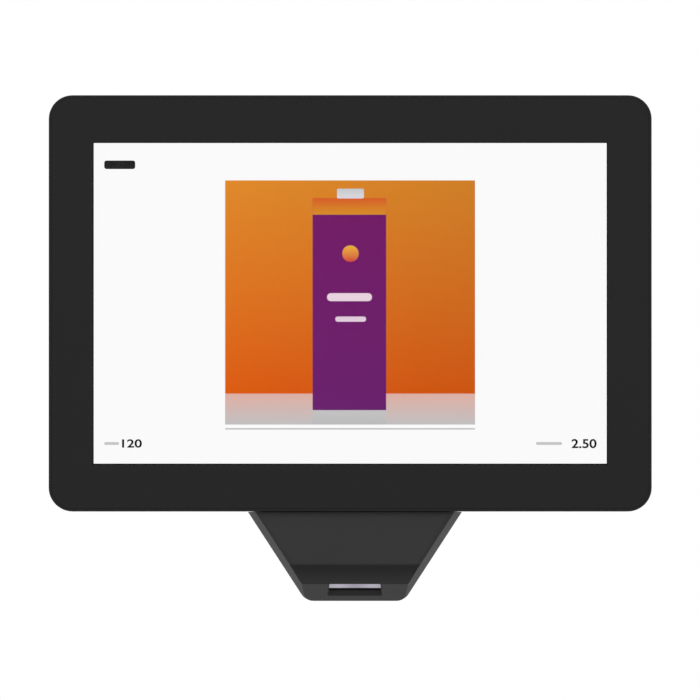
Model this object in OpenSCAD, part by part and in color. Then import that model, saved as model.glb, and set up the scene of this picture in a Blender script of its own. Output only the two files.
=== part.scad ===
// Wall mounted price checker: a flat display with a barcode reader in a chin below it.
// X runs to the viewer's right, Z runs up and the screen faces -Y.
// The origin is the centre of the mounting pattern, on the rear face.
// A depth is counted from the face of the glass backwards.

/* [Display housing] */
// Width of the housing's border beside the display module
side_border = 12.75; // [10.5:0.05:16]
// Height of the housing's border above and below the display module
end_border = 13.4; // [11:0.1:16]
// Corner radius of the housing, seen from the front
body_r = 10; // [7:0.5:14]
// Width of the slim rim beside the rear bulge
rim_w = 32.5; // [27:0.5:45]
// How far the rim's rear edge is drawn in
rim_inset = 3; // [1.5:0.5:4]
// Depth of the front frame
frame_d = 12; // [10.5:0.5:13.5]
// Wall thickness of the display's plastic covers
wall = 2; // [1.6:0.1:2.4]
// Width of the frame's edge around the glass
edge_w = 1.2; // [0.8:0.1:2]

/* [Screen] */
// Thickness of the cover glass
glass_t = 1.8; // [1.1:0.1:2]
// Thickness of the liquid crystal cell
cell_t = 1.2; // [0.8:0.1:1.4]
// Thickness of the light guide with its films
guide_t = 2; // [1.4:0.1:2.2]

/* [Rear bulge] */
// Distance from the upper mounting holes up to the bulge's top
bulge_above = 24.5; // [20:0.5:28]
// Distance from the lower mounting holes down to the bulge's lower side
bulge_below = 12.5; // [10.5:0.5:16]
// Gap between the network socket and the bulge's rear wall
rear_gap = 1.1; // [0.5:0.1:8]
// How far the upright sides of the bulge are drawn in
bulge_inset = 3; // [2:0.5:4]
// Corner radius of the bulge
bulge_r = 12; // [8:1:18]

/* [Mounting] */
// Distance between the mounting holes, both ways
mount_pitch = 75; // [65:1:85]
// Bore radius of the threaded inserts
insert_bore_r = 2; // [1.6:0.1:2.2]
// Length of the threaded inserts
insert_l = 7; // [5:0.5:7.5]

/* [Chin] */
// How far the chin's middle lies to the viewer's right of the screen's middle
chin_x = 2; // [-4:0.5:4]
// Height of the chin's upright face
face_h = 22.1; // [20:0.1:28]
// Height of the band that leans back below the face
band_h = 8; // [7:0.5:10]
// How far the band leans back
band_back = 2.6; // [1.5:0.1:3.2]
// Angle of the chin's sides from upright
side_angle = 33; // [28:0.5:38]
// Slope of the chin's underside
lip_angle = 15.5; // [13:0.5:17]
// How much each side of the chin is drawn in towards the front
side_inset = 2.8; // [1.5:0.1:3.2]
// Depth of the chin's face behind the glass
chin_front = 2.5; // [1.5:0.5:3.5]
// Distance from the chin's rear to the mounting face
chin_back_gap = 1; // [0.5:0.1:2]
// Wall thickness of the chin
chin_wall = 2.2; // [1.9:0.1:2.5]
// Radius of the chin's lower rear corners
chin_r = 5; // [3:0.5:7]
// Width of the neck that joins the chin to the rear cover
neck_w = 64; // [56:1:70]
// Distance from the neck's top to the bulge
neck_gap = 3; // [1:0.5:6]

/* [Reader] */
// Width of the reader's window opening
window_w = 22.9; // [20:0.1:24]
// Length of the window opening along the underside
window_l = 17.7; // [15.5:0.1:18]
// How deep the window lies in its recess
window_sink = 3.5; // [3:0.1:4]
// Width of the scan engine
engine_w = 21.5; // [19:0.5:22]
// Depth of the scan engine along the underside
engine_l = 14.5; // [12:0.5:15]
// Height of the scan engine
engine_h = 11.8; // [9:0.1:12.4]

/* [Electronics] */
// Width of the main board
board_w = 156; // [140:1:180]
// Room above the main board
board_above = 10; // [8:0.5:20]
// Thickness of the circuit boards
board_t = 1.6; // [1.2:0.1:1.7]
// Length of the posts that carry the main board
post_l = 5; // [4.4:0.1:5.4]
// Width of the heatsink
sink_w = 40; // [30:1:46]
// Height of the heatsink
sink_h = 9; // [6:0.5:10]
// Width of a loudspeaker
speaker_w = 40; // [30:1:42]
// Height of a loudspeaker
speaker_h = 20; // [16:1:26]
// Depth of a loudspeaker
speaker_t = 6; // [5:0.2:8]

/* [Keys] */
// Length of a volume key
key_l = 12; // [9:0.5:13]
// Length of the power key
power_l = 8; // [6:0.5:10]
// Height of the keys
key_h = 4.6; // [3.6:0.1:5]
// Distance between neighbouring keys
key_pitch = 18; // [17:0.5:20]
// Travel of the keys
key_travel = 0.5; // [0.3:0.05:0.6]
// Clearance around the keys
key_gap = 0.35; // [0.3:0.05:0.5]

/* [Hidden] */
$fn = 48;
arc_steps = 6;
slot_steps = 3;
cut = 1;
film = 0.02;
root = 0.5;
fit = 0.05;
corner_shares = [[-1, -1], [1, -1], [-1, 1], [1, 1]];
side_shares = [-1, 1];
slot_end_share = 0.45;

// Stack of depths behind the glass
pan_t = 0.5;
pad_t = 2.4;
plate_t = 1;
guide_at = glass_t + cell_t;
pan_at = guide_at + guide_t;
pad_at = pan_at + pan_t;
plate_at = pad_at + pad_t;
post_at = plate_at + plate_t;
board_at = post_at + post_l;
parts_at = board_at + board_t;
network_t = 13.4;
body_d = parts_at + network_t + rear_gap + wall;
speaker_gap = 1.1;
speaker_at = post_at + speaker_gap;
rim_d = speaker_at + speaker_t + wall;

// Widths and heights, from the board and the mounting holes outwards
module_gap = 0.4;
board_side = 17;
bulge_w = board_w + 2 * board_side;
body_w = bulge_w + 2 * rim_w;
module_w = body_w - 2 * side_border;
bulge_low = mount_pitch / 2 + bulge_below;
bulge_h = mount_pitch + bulge_above + bulge_below;
speaker_above = 6;
speaker_below = 4.5;
speaker_x = bulge_w / 2 - speaker_w / 4;
speaker_z = -bulge_low - speaker_above - speaker_h / 2;
boss_z = bulge_low + speaker_above + speaker_h + speaker_below;
boss_x = body_w / 2 - (side_border + wall - module_gap) / 2;
body_h = 2 * boss_z + end_border + wall - module_gap;
module_h = body_h - 2 * end_border;

// Front frame and glass
tape_t = 0.3;
ledge_at = glass_t + tape_t;
tape_edge = 0.8;
ledge_t = 1.6;
pocket_gap = 0.1;
glass_w = body_w - 2 * edge_w;
glass_h = body_h - 2 * edge_w;
glass_r = body_r - edge_w;
inner_w = body_w - 2 * wall;
inner_h = body_h - 2 * wall;
inner_r = body_r - wall;

// Display module
pan_side = 0.4;
pan_rise = 2.2;
surround_rise = 2.6;
surround_t = 2;
cell_gap = 0.2;
cell_w = module_w - 2 * (pan_side + surround_t + cell_gap);
cell_h = module_h - 2 * (pan_side + surround_t + cell_gap);
module_r = 2;
pad_w = 8;
pad_edge = 2;
pad_run_share = 0.75;
driver_w = 150;
driver_h = 9;
driver_t = 1;
driver_gap = 2;
flex_t = 0.2;
flex_w = 24;
flex_x = -30;
flex_foot = 6;
flex_rise = 26;

// Bosses and screws
boss_r = 3;
boss_gap = 0.5;
post_r = 3.6;
pilot_r = 1.25;
shank_r = pilot_r - fit;
hole_r = 1.6;
head_r = 2.4;
head_h = 1.6;
head_gap = 0.4;
head_sink = 0.4;
tip_gap = 0.5;
thread_l = 3;
long_thread_l = 5;
cross_w = 0.7;
cross_l = 2.6;
cross_h = 0.9;
frame_screw_shares = [[-1, 0.45], [-1, -0.45], [1, 0.45], [1, -0.45],
    [-0.6, 1], [0.6, 1], [-0.8, -1], [0.8, -1]];
case_screw_shares = [[-1, 1], [0, 1], [1, 1], [-1, -1], [-0.46, -1], [0.46, -1], [1, -1]];
case_seat = rim_d - head_h - head_sink;

// Chassis plate
plate_edge = 3.4;
plate_r = 6;
slot_gap = 2;
slot_h = 4;

// Rear cover
seam_lip_h = 2;
seam_lip_t = 1;
seam_gap = 0.15;
edge_band = 2;
edge_soft = 1.4;
edge_soft_in = 0.9;
bulge_low_inset = 0.8;
bulge_soft = 1.2;
insert_r = 3.2;
insert_boss_r = 5;
insert_floor = 1.5;
vent_w = 24;
vent_h = 2.2;
vent_pitch = 6;
vent_rows = 11;
vent_side = 26.5;
vent_x = bulge_w / 2 - vent_side;
top_vent_w = 2.4;
top_vent_pitch = 7;
top_vents = 18;
neck_hole_w = 16;
neck_hole_h = 8;

// Main board and what stands on it
board_gap = 1;
board_r = 2;
board_inset = 4;
board_h = bulge_h - 2 * wall - board_gap - board_above;
board_low = board_gap + wall - bulge_low;
board_z = board_low + board_h / 2;
post_across = 2.9;
chip_w = 15;
chip_t = 1.5;
sink_z = 8;
sink_base = 2;
fins = 9;
fin_share = 0.45;
memory_w = 9;
memory_h = 12;
memory_t = 1;
memory_x = 32;
memory_pitch = 17;
radio_w = 14;
radio_h = 12;
radio_t = 2.2;
radio_side = 20;
radio_x = board_w / 2 - radio_side;
radio_z = 36;
can_r = 3.2;
can_h = 7;
can_side = 18;
can_x = board_w / 2 - can_side;
can_z = 20;
can_pitch = 8;
cans = 3;
coil_w = 9;
coil_t = 4;
coil_z = 4;

// Sockets, which open downwards through the bulge
port_recess = 0.4;
port_gap = 0.4;
port_z = port_recess - bulge_low;
power_space = 2;
network_w = 16;
network_x = (network_w - board_w) / 2;
network_l = 21;
post_gap = 5;
network_mouth_w = 11.9;
network_mouth_t = 7.4;
network_mouth_l = 14;
network_rim = 2;
latch_w = 6;
latch_t = 2.4;
power_w = 9;
power_x = -mount_pitch / 2 - insert_boss_r - power_space - power_w / 2;
power_t = 11;
power_d = 14;
power_bore_r = 3.1;
power_bore_l = 10;
power_pin_r = 1;
usb_side = 2.4;
usb_pitch = 17;
usb_w = 13.2;
usb_x = (board_w - usb_w) / 2 - usb_side - usb_pitch;
usb_t = 5.8;
usb_l = 14;
usb_wall = 0.4;
usb_tongue_w = 11;
usb_tongue_t = 1.9;
usb_floor = 2;

// Loudspeakers and plugs on the front of the main board
speaker_r = 3;
cone_share = 0.4;
cone_dip = 0.8;
grille_slots = 7;
grille_w = 1.8;
grille_h = 12;
grille_pitch = 4;
lead_r = 0.7;
lead_sides = 8;
lead_gap = 0.1;
plug_w = 8;
plug_h = 5;
plug_t = 3;
plug_side = 7;
plug_rise = 9;
plug_x = speaker_x - speaker_w / 2 - plug_side;
plug_z = board_low + plug_rise;
lead_at = board_at - plug_t / 2;
clip_h = 4;
clip_t = 1.6;

// Keys on the bulge's side, their switches and the bracket behind them
key_top_z = 28;
key_at = (rim_d + body_d) / 2;
key_r = 1.8;
key_proud = 0.9;
key_flange = 1.2;
key_flange_t = 1.2;
key_lean = bulge_inset / (body_d - rim_d);
key_wall_x = bulge_w / 2 - key_lean * (key_at - rim_d);
key_out_x = key_wall_x + key_proud;
key_flange_x = key_wall_x - wall - key_lean * (key_h / 2 + key_flange) - key_gap;
key_in_x = key_flange_x - key_flange_t;
stem_r = 1;
stem_l = 1.8;
stem_show = 0.8;
switch_w = 6;
switch_t = 3;
switch_x = key_in_x - stem_show - switch_t;
key_board_t = 1.2;
key_board_d = 9;
bracket_t = 1.2;
bracket_foot = 8;
bracket_x = switch_x - key_board_t - bracket_t;
bracket_h = 2 * key_pitch + key_l;
bracket_rear = 1.5;
key_mid_z = key_top_z - key_pitch;

// Outline of the chin
chin_gap = 0.6;
chin_top = -body_h / 2 - chin_gap;
chin_rear = body_d - chin_back_gap;
chin_part = 16;
chin_soft = 2;
chin_soft_in = 0.6;
ear_side = 4.5;
ear_w = 3;
ear_room = 1.4;
window_over = 0.55;
ear_x = window_w / 2 + window_over + ear_side;
side_wall = chin_wall / cos(side_angle);
lip_wall = chin_wall / cos(lip_angle);
lip_front = chin_front + band_back;
lip_front_z = chin_top - face_h - band_h;
chin_low = lip_front_z - (chin_rear - lip_front) * tan(lip_angle);
chin_w = 2 * (ear_x + ear_w + ear_room - (chin_low + body_h / 2) * tan(side_angle));
neck_top = -bulge_low - neck_gap;
neck_r = 4;
neck_low = chin_top - 2 * chin_wall;
neck_screw_in = 6;
neck_screw_rise = 7.5;
neck_screw_x = neck_w / 2 - neck_screw_in;
neck_screw_z = [chin_top + neck_screw_rise, neck_top - neck_screw_in];
chin_seat = chin_rear - head_h - head_sink;
chin_thread_l = 8;
chin_screw_high = [29, 8];
chin_screw_low = [18.5, 18.5];

// Window and scan engine, measured square to the chin's underside
window_start = 0.5;
window_taper = 1;
taper_out = window_taper * cut / window_sink;
window_rim = 1.6;
window_t = 1.5;
window_gap = 0.15;
window_mid = lip_front + window_start + window_l / 2 * cos(lip_angle);
pane_w = window_w + 2 * window_over;
pane_l = window_l + 2 * window_over;
gasket_t = 1;
gasket_w = 1.8;
bracket_at = window_sink + window_t + gasket_t;
engine_at = bracket_at + bracket_t;
ear_l = 8;
ear_boss_r = 2.6;
sight_w = 19;
sight_l = 9;
lens_r = 3.6;
lens_eye_r = 1.6;
lens_dip = 0.5;
lamp_w = 3;
lamp_t = 0.6;
lamp_x = 7.4;

// Decoder board in the neck
decoder_side = 2.4;
decoder_w = neck_w - 2 * (neck_screw_in + post_r + decoder_side);
decoder_h = 36;
decoder_rise = 2.4;
decoder_at = chin_rear - chin_wall - decoder_rise - board_t;
decoder_top = 9;
decoder_z = neck_top - decoder_top - decoder_h / 2;
decoder_inset = 3;
decoder_boss_r = 2.5;
decoder_chip = 10;
beeper_r = 4.5;
beeper_h = 4;
beeper_eye_r = 0.8;
beeper_x = -9;
beeper_z = 8;
cable_w = 10;
cable_aside = 8;
cable_drop = 5;
cable_x = chin_x + cable_aside;
cable_z = neck_top - cable_drop;
cable_start = 6;
cable_at = board_at - clip_t;
cable_rise = 7;
cable_end = board_low + cable_rise;
engine_flex_w = 9;
engine_flex_clip = 3;

// A quarter arc of points, and the outline of a rectangle with round corners
function arc_points(x, z, r, from, steps) =
    [for (i = [0 : steps]) [x + r * cos(from + 90 * i / steps), z + r * sin(from + 90 * i / steps)]];
function rounded_points(w, h, r, steps) = concat(
    arc_points(w / 2 - r, h / 2 - r, r, 0, steps),
    arc_points(r - w / 2, h / 2 - r, r, 90, steps),
    arc_points(r - w / 2, r - h / 2, r, 180, steps),
    arc_points(w / 2 - r, r - h / 2, r, 270, steps));

// Half the chin's width at a height, and how far its side is drawn in at a depth
function chin_half(z) = chin_w / 2 - (-body_h / 2 - z) * tan(side_angle);
function chin_in(d) = side_inset / cos(side_angle) * (chin_rear - d) / (chin_rear - chin_front);
// Height of the chin's underside at a depth
function lip_z(d) = lip_front_z - (d - lip_front) * tan(lip_angle);
// The chin seen from the front, drawn in by e, with round lower corners
function chin_corner(x, z, r) = let (turn = 90 - side_angle)
    [for (i = [0 : arc_steps]) let (a = turn * i / arc_steps - 90)
        [x - r * tan(turn / 2) + r * cos(a), z + r + r * sin(a)]];
function mirrored(points) = [for (i = [len(points) - 1 : -1 : 0]) [-points[i][0], points[i][1]]];
function chin_points(e, r) = let (
    right = concat(chin_corner(chin_half(chin_low) - e, chin_low, r), [[chin_half(chin_top) - e, chin_top]]))
    concat(right, mirrored(right));

// A flat outline in X and Z, given thickness t backwards from depth d
module sheet(d, t) translate([0, d + t - body_d, 0]) rotate([90, 0, 0]) linear_extrude(t) children();
module panel(w, h, r, d, t, x = 0, z = 0)
    sheet(d, t) translate([x, z]) polygon(rounded_points(w, h, r, arc_steps));
module brick(w, h, d, t, x = 0, z = 0) translate([x - w / 2, d - body_d, z - h / 2]) cube([w, t, h]);
module slot(w, h, d, t, x, z)
    sheet(d, t) translate([x, z]) polygon(rounded_points(w, h, slot_end_share * min(w, h), slot_steps));
module rod(r, d, t, x, z) translate([x, d + t - body_d, z]) rotate([90, 0, 0]) cylinder(r = r, h = t);
// An outline in depth and height, given width w about x
module profile(w, x = 0) translate([x - w / 2, -body_d, 0]) rotate([90, 0, 90]) linear_extrude(w) children();
module strip(d0, z0, d1, z1) translate([d0, z0]) square([d1 - d0, z1 - z0]);
module ring(w, h, r, band, d, t)
    difference() {
        panel(w, h, r, d, t);
        panel(w - 2 * band, h - 2 * band, max(r - band, fit), d - cut, t + 2 * cut);
    }

// A cross-head screw, driven from the rear: its head stands on depth seat
module screw(x, z, seat, l) {
    difference() {
        rod(head_r, seat, head_h, x, z);
        for (a = [0, 90])
            translate([x, seat + head_h - cross_h - body_d, z]) rotate([0, a, 0])
                translate([-cross_l / 2, 0, -cross_w / 2]) cube([cross_l, cross_h + cut, cross_w]);
    }
    rod(shank_r, seat - l, l + (head_h - cross_h) / 2, x, z);
}
// The stepped hole for a screw that is driven from the rear
module screw_hole(x, z, seat, from) {
    rod(head_r + head_gap, seat, head_h + head_sink + cut, x, z);
    rod(hole_r, from - cut, seat - from + 2 * cut, x, z);
}
// The bore that a screw bites in, l long, from a boss's rear end at depth d
module pilot(d, l) rod(pilot_r, d - l - tip_gap, l + tip_gap + cut, 0, 0);
module at_boss(shares) for (s = shares) translate([s[0] * boss_x, 0, s[1] * boss_z]) children();

// Glass and front frame

module cover_glass() color("#17181a") panel(glass_w, glass_h, glass_r, 0, glass_t);

module glass_tape() color("#101010")
    difference() {
        panel(glass_w - 2 * tape_edge, glass_h - 2 * tape_edge, glass_r - tape_edge, glass_t, tape_t);
        brick(module_w + 2 * module_gap + 2 * tape_edge, module_h + 2 * module_gap + 2 * tape_edge,
            glass_t - cut, tape_t + 2 * cut);
    }

module front_frame() color("#2b2b2b")
    difference() {
        union() {
            difference() {
                panel(body_w, body_h, body_r, 0, frame_d);
                panel(glass_w + 2 * pocket_gap, glass_h + 2 * pocket_gap, glass_r + pocket_gap,
                    -cut, ledge_at + cut);
                brick(module_w + 2 * module_gap, module_h + 2 * module_gap, 0, frame_d);
                panel(inner_w, inner_h, inner_r, ledge_at + ledge_t, frame_d);
            }
            at_boss(frame_screw_shares) rod(boss_r, ledge_at + root, plate_at - ledge_at - root, 0, 0);
            at_boss(case_screw_shares) rod(boss_r, ledge_at + root, frame_d - ledge_at - root, 0, 0);
        }
        at_boss(frame_screw_shares) pilot(plate_at, thread_l);
        at_boss(case_screw_shares) pilot(frame_d, long_thread_l);
    }

// Display module

module lcd_cell() color("#f4f4f4") brick(cell_w, cell_h, glass_t, cell_t);

module light_guide() color("#e9eef2") brick(cell_w, cell_h, guide_at, guide_t);

module lcd_surround() color("#202020")
    difference() {
        brick(module_w - 2 * pan_side - 2 * fit, module_h - 2 * pan_side - 2 * fit,
            pan_at - surround_rise, surround_rise);
        brick(cell_w + 2 * cell_gap, cell_h + 2 * cell_gap, glass_t - cut, pan_at);
    }

module lcd_pan() color("#c4c6c8")
    difference() {
        panel(module_w, module_h, module_r, pan_at - pan_rise, pan_rise + pan_t);
        brick(module_w - 2 * pan_side, module_h - 2 * pan_side, glass_t - cut, pan_at - glass_t + cut);
    }

module foam_pads() color("#3a3a3a") {
    for (s = side_shares) {
        brick(module_w * pad_run_share, pad_w, pad_at, pad_t, 0, s * (module_h / 2 - pad_edge - pad_w / 2));
        brick(pad_w, module_h / 2, pad_at, pad_t, s * (module_w / 2 - pad_edge - pad_w / 2), 0);
    }
}

driver_z = pad_edge + pad_w + driver_gap + driver_h / 2 - module_h / 2;
module lcd_driver_board() color("#1d6b3c") brick(driver_w, driver_h, pad_at, driver_t, 0, driver_z);

flex_start = driver_z + driver_h / 2 - flex_foot;
flex_bend = driver_z + driver_h / 2 + driver_gap;
flex_top = flex_bend + flex_rise;
flex_at = board_at - clip_t;
module lcd_flex() color("#c9862e")
    profile(flex_w, flex_x) {
        strip(pad_at + driver_t, flex_start, pad_at + driver_t + flex_t, flex_bend);
        strip(pad_at + driver_t, flex_bend - flex_t, flex_at, flex_bend);
        strip(flex_at - flex_t, flex_bend - flex_t, flex_at, flex_top);
    }

// Chassis plate and main board

post_z = [board_low + network_l + post_gap, board_low + board_h - board_inset];
module at_post() for (s = side_shares)
    for (z = post_z) translate([s * (board_w / 2 - board_inset), 0, z]) children();
foot_x = bracket_x + bracket_t + bracket_foot / 2;
module at_foot() for (s = side_shares) translate([foot_x, 0, key_mid_z + s * key_pitch / 2]) children();

module chassis_plate() color("#b9bcbf")
    difference() {
        panel(2 * (boss_x + plate_edge), 2 * (boss_z + plate_edge), plate_r, plate_at, plate_t);
        at_boss(case_screw_shares) rod(boss_r + boss_gap, plate_at - cut, plate_t + 2 * cut, 0, 0);
        at_boss(frame_screw_shares) rod(hole_r, plate_at - cut, plate_t + 2 * cut, 0, 0);
        at_foot() rod(pilot_r, plate_at - cut, plate_t + 2 * cut, 0, 0);
        brick(flex_w + 2 * slot_gap, slot_h, plate_at - cut, plate_t + 2 * cut, flex_x, flex_bend);
    }

module frame_screws() color("#8e9194")
    at_boss(frame_screw_shares) screw(0, 0, post_at, plate_t + thread_l);

module board_posts() color("#b08d4a")
    at_post() difference() {
        translate([0, board_at - body_d, 0]) rotate([90, 0, 0])
            cylinder(r = post_across, h = post_l, $fn = 6);
        rod(pilot_r, post_at - cut, post_l + 2 * cut, 0, 0);
    }

module main_board() color("#1b5e3a")
    difference() {
        panel(board_w, board_h, board_r, board_at, board_t, 0, board_z);
        at_post() rod(hole_r, board_at - cut, board_t + 2 * cut, 0, 0);
    }

module processor() color("#1c1c1e") brick(chip_w, chip_w, parts_at, chip_t, 0, sink_z);

module heatsink() color("#9fa3a6")
    difference() {
        brick(sink_w, sink_w, parts_at + chip_t, sink_h, 0, sink_z);
        for (i = [0 : fins - 2])
            brick(sink_w / fins * (1 - fin_share), sink_w + 2 * cut, parts_at + chip_t + sink_base, sink_h,
                (i + 1 - fins / 2) * sink_w / fins, sink_z);
    }

module memory_chips() color("#222326")
    for (s = side_shares)
        brick(memory_w, memory_h, parts_at, memory_t, memory_x, sink_z + s * memory_pitch / 2);

module radio_module() color("#a9adb0") brick(radio_w, radio_h, parts_at, radio_t, radio_x, radio_z);

module capacitors() color("#3d4a78")
    for (i = [0 : cans - 1]) rod(can_r, parts_at, can_h, i * can_pitch - can_x, -can_z);

module power_coil() color("#54565a") brick(coil_w, coil_w, parts_at, coil_t, -can_x, coil_z);

module board_plugs() color("#ece7d8") {
    for (s = side_shares) brick(plug_w, plug_h, board_at - plug_t, plug_t, s * plug_x, plug_z);
    brick(flex_w, clip_h, board_at - clip_t, clip_t, flex_x, flex_top + clip_h / 2);
    brick(cable_w, clip_h, board_at - clip_t, clip_t, cable_x, cable_end + clip_h / 2);
}

// Sockets

module network_socket() color("#b4b7ba")
    difference() {
        brick(network_w, network_l, parts_at, network_t, network_x, port_z + network_l / 2);
        translate([0, 0, -cut]) {
            brick(network_mouth_w, network_mouth_l, parts_at + network_rim, network_mouth_t,
                network_x, port_z + network_mouth_l / 2);
            brick(latch_w, network_mouth_l, parts_at + network_rim, network_mouth_t + latch_t,
                network_x, port_z + network_mouth_l / 2);
        }
    }

module power_socket() color("#18181a") {
    difference() {
        brick(power_w, power_d, parts_at, power_t, power_x, port_z + power_d / 2);
        translate([power_x, parts_at + power_t / 2 - body_d, port_z - cut])
            cylinder(r = power_bore_r, h = power_bore_l + cut);
    }
    translate([power_x, parts_at + power_t / 2 - body_d, port_z + cut])
        cylinder(r = power_pin_r, h = power_bore_l);
}

module usb_sockets() color("#c2c5c8")
    for (i = [0, 1]) translate([usb_x + i * usb_pitch, 0, port_z]) {
        difference() {
            brick(usb_w, usb_l, parts_at, usb_t, 0, usb_l / 2);
            brick(usb_w - 2 * usb_wall, usb_l, parts_at + usb_wall, usb_t - 2 * usb_wall,
                0, usb_l / 2 - usb_floor);
        }
        brick(usb_tongue_w, usb_l - 2 * cut, parts_at + usb_t - 2 * usb_wall - usb_tongue_t, usb_tongue_t,
            0, usb_l / 2);
    }

module board_screws() color("#8e9194") {
    at_post() screw(0, 0, parts_at, board_t + thread_l);
    at_foot() screw(0, 0, post_at + bracket_t, bracket_t + plate_t + root);
}

// Rear cover

function bulge_in(d) = bulge_inset * (d - rim_d) / (body_d - rim_d);
// A slice of the bulge at depth d, drawn in by e on every side
module bulge_slice(d, e) let (
        top = bulge_h - bulge_low - bulge_in(d) - e,
        low = e + bulge_low_inset * (d - rim_d) / (body_d - rim_d) - bulge_low)
    panel(bulge_w - 2 * bulge_in(d) - 2 * e, top - low, bulge_r - e, d, film, 0, (top + low) / 2);

module cover_outside() {
    hull() {
        panel(body_w, body_h, body_r, frame_d, edge_band);
        panel(body_w - 2 * (rim_inset - edge_soft_in), body_h - 2 * (rim_inset - edge_soft_in),
            body_r - rim_inset + edge_soft_in, rim_d - edge_soft, film);
        panel(body_w - 2 * rim_inset, body_h - 2 * rim_inset, body_r - rim_inset, rim_d - film, film);
    }
    hull() {
        bulge_slice(rim_d - wall / 2, 0);
        bulge_slice(body_d - bulge_soft, 0);
        bulge_slice(body_d - film, bulge_soft);
    }
}

module cover_inside() {
    hull() {
        panel(inner_w, inner_h, inner_r, frame_d - cut, edge_band + cut);
        panel(inner_w - 2 * rim_inset, inner_h - 2 * rim_inset, inner_r - rim_inset / 2,
            rim_d - wall - film, film);
    }
    hull() {
        bulge_slice(rim_d - wall - root, wall);
        bulge_slice(body_d - wall - film, wall);
    }
}

module key_outline(l, e) polygon(rounded_points(key_h + 2 * e, l + 2 * e, key_r + e, arc_steps));
module key_body(l, e, x, t, z)
    translate([x, key_at - body_d, z]) rotate([90, 0, 90]) linear_extrude(t) key_outline(l, e);

module at_neck_screw() for (s = side_shares)
    for (z = neck_screw_z) translate([chin_x + s * neck_screw_x, 0, z]) children();
module at_insert() for (s = corner_shares)
    translate([s[0] * mount_pitch / 2, 0, s[1] * mount_pitch / 2]) children();
module port_hole(w, t, x)
    brick(w + 2 * port_gap, 4 * wall, parts_at - port_gap, t + 2 * port_gap, x, -bulge_low);

module cover_openings() {
    at_boss(case_screw_shares) screw_hole(0, 0, case_seat, frame_d);
    at_neck_screw() pilot(rim_d, long_thread_l);
    at_insert() rod(insert_r + fit, body_d - insert_l, insert_l + cut, 0, 0);
    for (s = side_shares)
        for (i = [0 : vent_rows - 1])
            slot(vent_w, vent_h, body_d - wall - cut, wall + 2 * cut,
                s * vent_x, (i - (vent_rows - 1) / 2) * vent_pitch);
    for (i = [0 : top_vents - 1])
        brick(top_vent_w, 5 * wall, (rim_d + body_d - wall) / 2 - top_vent_pitch / 2, top_vent_pitch,
            (i - (top_vents - 1) / 2) * top_vent_pitch, bulge_h - bulge_low);
    for (s = side_shares)
        for (i = [0 : grille_slots - 1])
            slot(grille_w, grille_h, rim_d - wall - cut, wall + 2 * cut,
                s * speaker_x + (i - (grille_slots - 1) / 2) * grille_pitch, speaker_z);
    port_hole(network_w, network_t, network_x);
    port_hole(power_w, power_t, power_x);
    for (i = [0, 1]) port_hole(usb_w, usb_t, usb_x + i * usb_pitch);
    key_body(power_l, key_gap, key_in_x, key_out_x - key_in_x + cut, key_top_z);
    for (i = [1, 2])
        key_body(key_l, key_gap, key_in_x, key_out_x - key_in_x + cut, key_top_z - i * key_pitch);
    slot(neck_hole_w, neck_hole_h, rim_d - wall - cut, wall + 2 * cut, cable_x, cable_z);
}

module rear_cover() color("#2c2c2c")
    difference() {
        union() {
            difference() {
                cover_outside();
                cover_inside();
            }
            ring(inner_w - 2 * seam_gap, inner_h - 2 * seam_gap, inner_r - seam_gap, seam_lip_t,
                frame_d - seam_lip_h, seam_lip_h + root);
            for (s = side_shares) {
                brick(inner_w / 2, wall, frame_d, root, 0, s * (inner_h / 2 - wall / 2));
                brick(wall, inner_h / 2, frame_d, root, s * (inner_w / 2 - wall / 2), 0);
            }
            at_boss(case_screw_shares) rod(post_r, frame_d, rim_d - frame_d - wall / 2, 0, 0);
            at_neck_screw() rod(post_r, rim_d - long_thread_l - 2 * tip_gap, long_thread_l + tip_gap, 0, 0);
            at_insert() rod(insert_boss_r, body_d - insert_l - insert_floor,
                insert_l + insert_floor - wall / 2, 0, 0);
        }
        cover_openings();
    }

module mount_inserts() color("#c9a24e")
    at_insert() difference() {
        rod(insert_r, body_d - insert_l, insert_l, 0, 0);
        rod(insert_bore_r, body_d - insert_l - cut, insert_l + 2 * cut, 0, 0);
    }

module case_screws() color("#2a2a2c")
    at_boss(case_screw_shares) screw(0, 0, case_seat, case_seat - frame_d + long_thread_l);

// Loudspeakers

module speakers() color("#26272a")
    for (s = side_shares)
        difference() {
            panel(speaker_w, speaker_h, speaker_r, speaker_at, speaker_t, s * speaker_x, speaker_z);
            rod(cone_share * speaker_h, speaker_at + speaker_t - cone_dip, cone_dip + cut,
                s * speaker_x, speaker_z);
        }

// A round lead whose route lies in one depth
function lead_turn(points, i) = let (
    a = points[max(i - 1, 0)],
    b = points[min(i + 1, len(points) - 1)],
    t = (b - a) / norm(b - a)) [t[1], -t[0]];
module lead(points, d) let (
        n = lead_sides,
        last = len(points) - 1,
        skin = [for (i = [0 : last]) for (k = [0 : n - 1])
            let (side = lead_turn(points, i), a = 360 * k / n)
            [points[i][0] + lead_r * cos(a) * side[0], d - body_d + lead_r * sin(a),
                points[i][1] + lead_r * cos(a) * side[1]]],
        walls = [for (i = [0 : last - 1]) for (k = [0 : n - 1])
            [i * n + k, i * n + (k + 1) % n, (i + 1) * n + (k + 1) % n, (i + 1) * n + k]])
    polyhedron(skin, concat([[for (k = [n - 1 : -1 : 0]) k]], walls, [[for (k = [0 : n - 1]) last * n + k]]));

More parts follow.
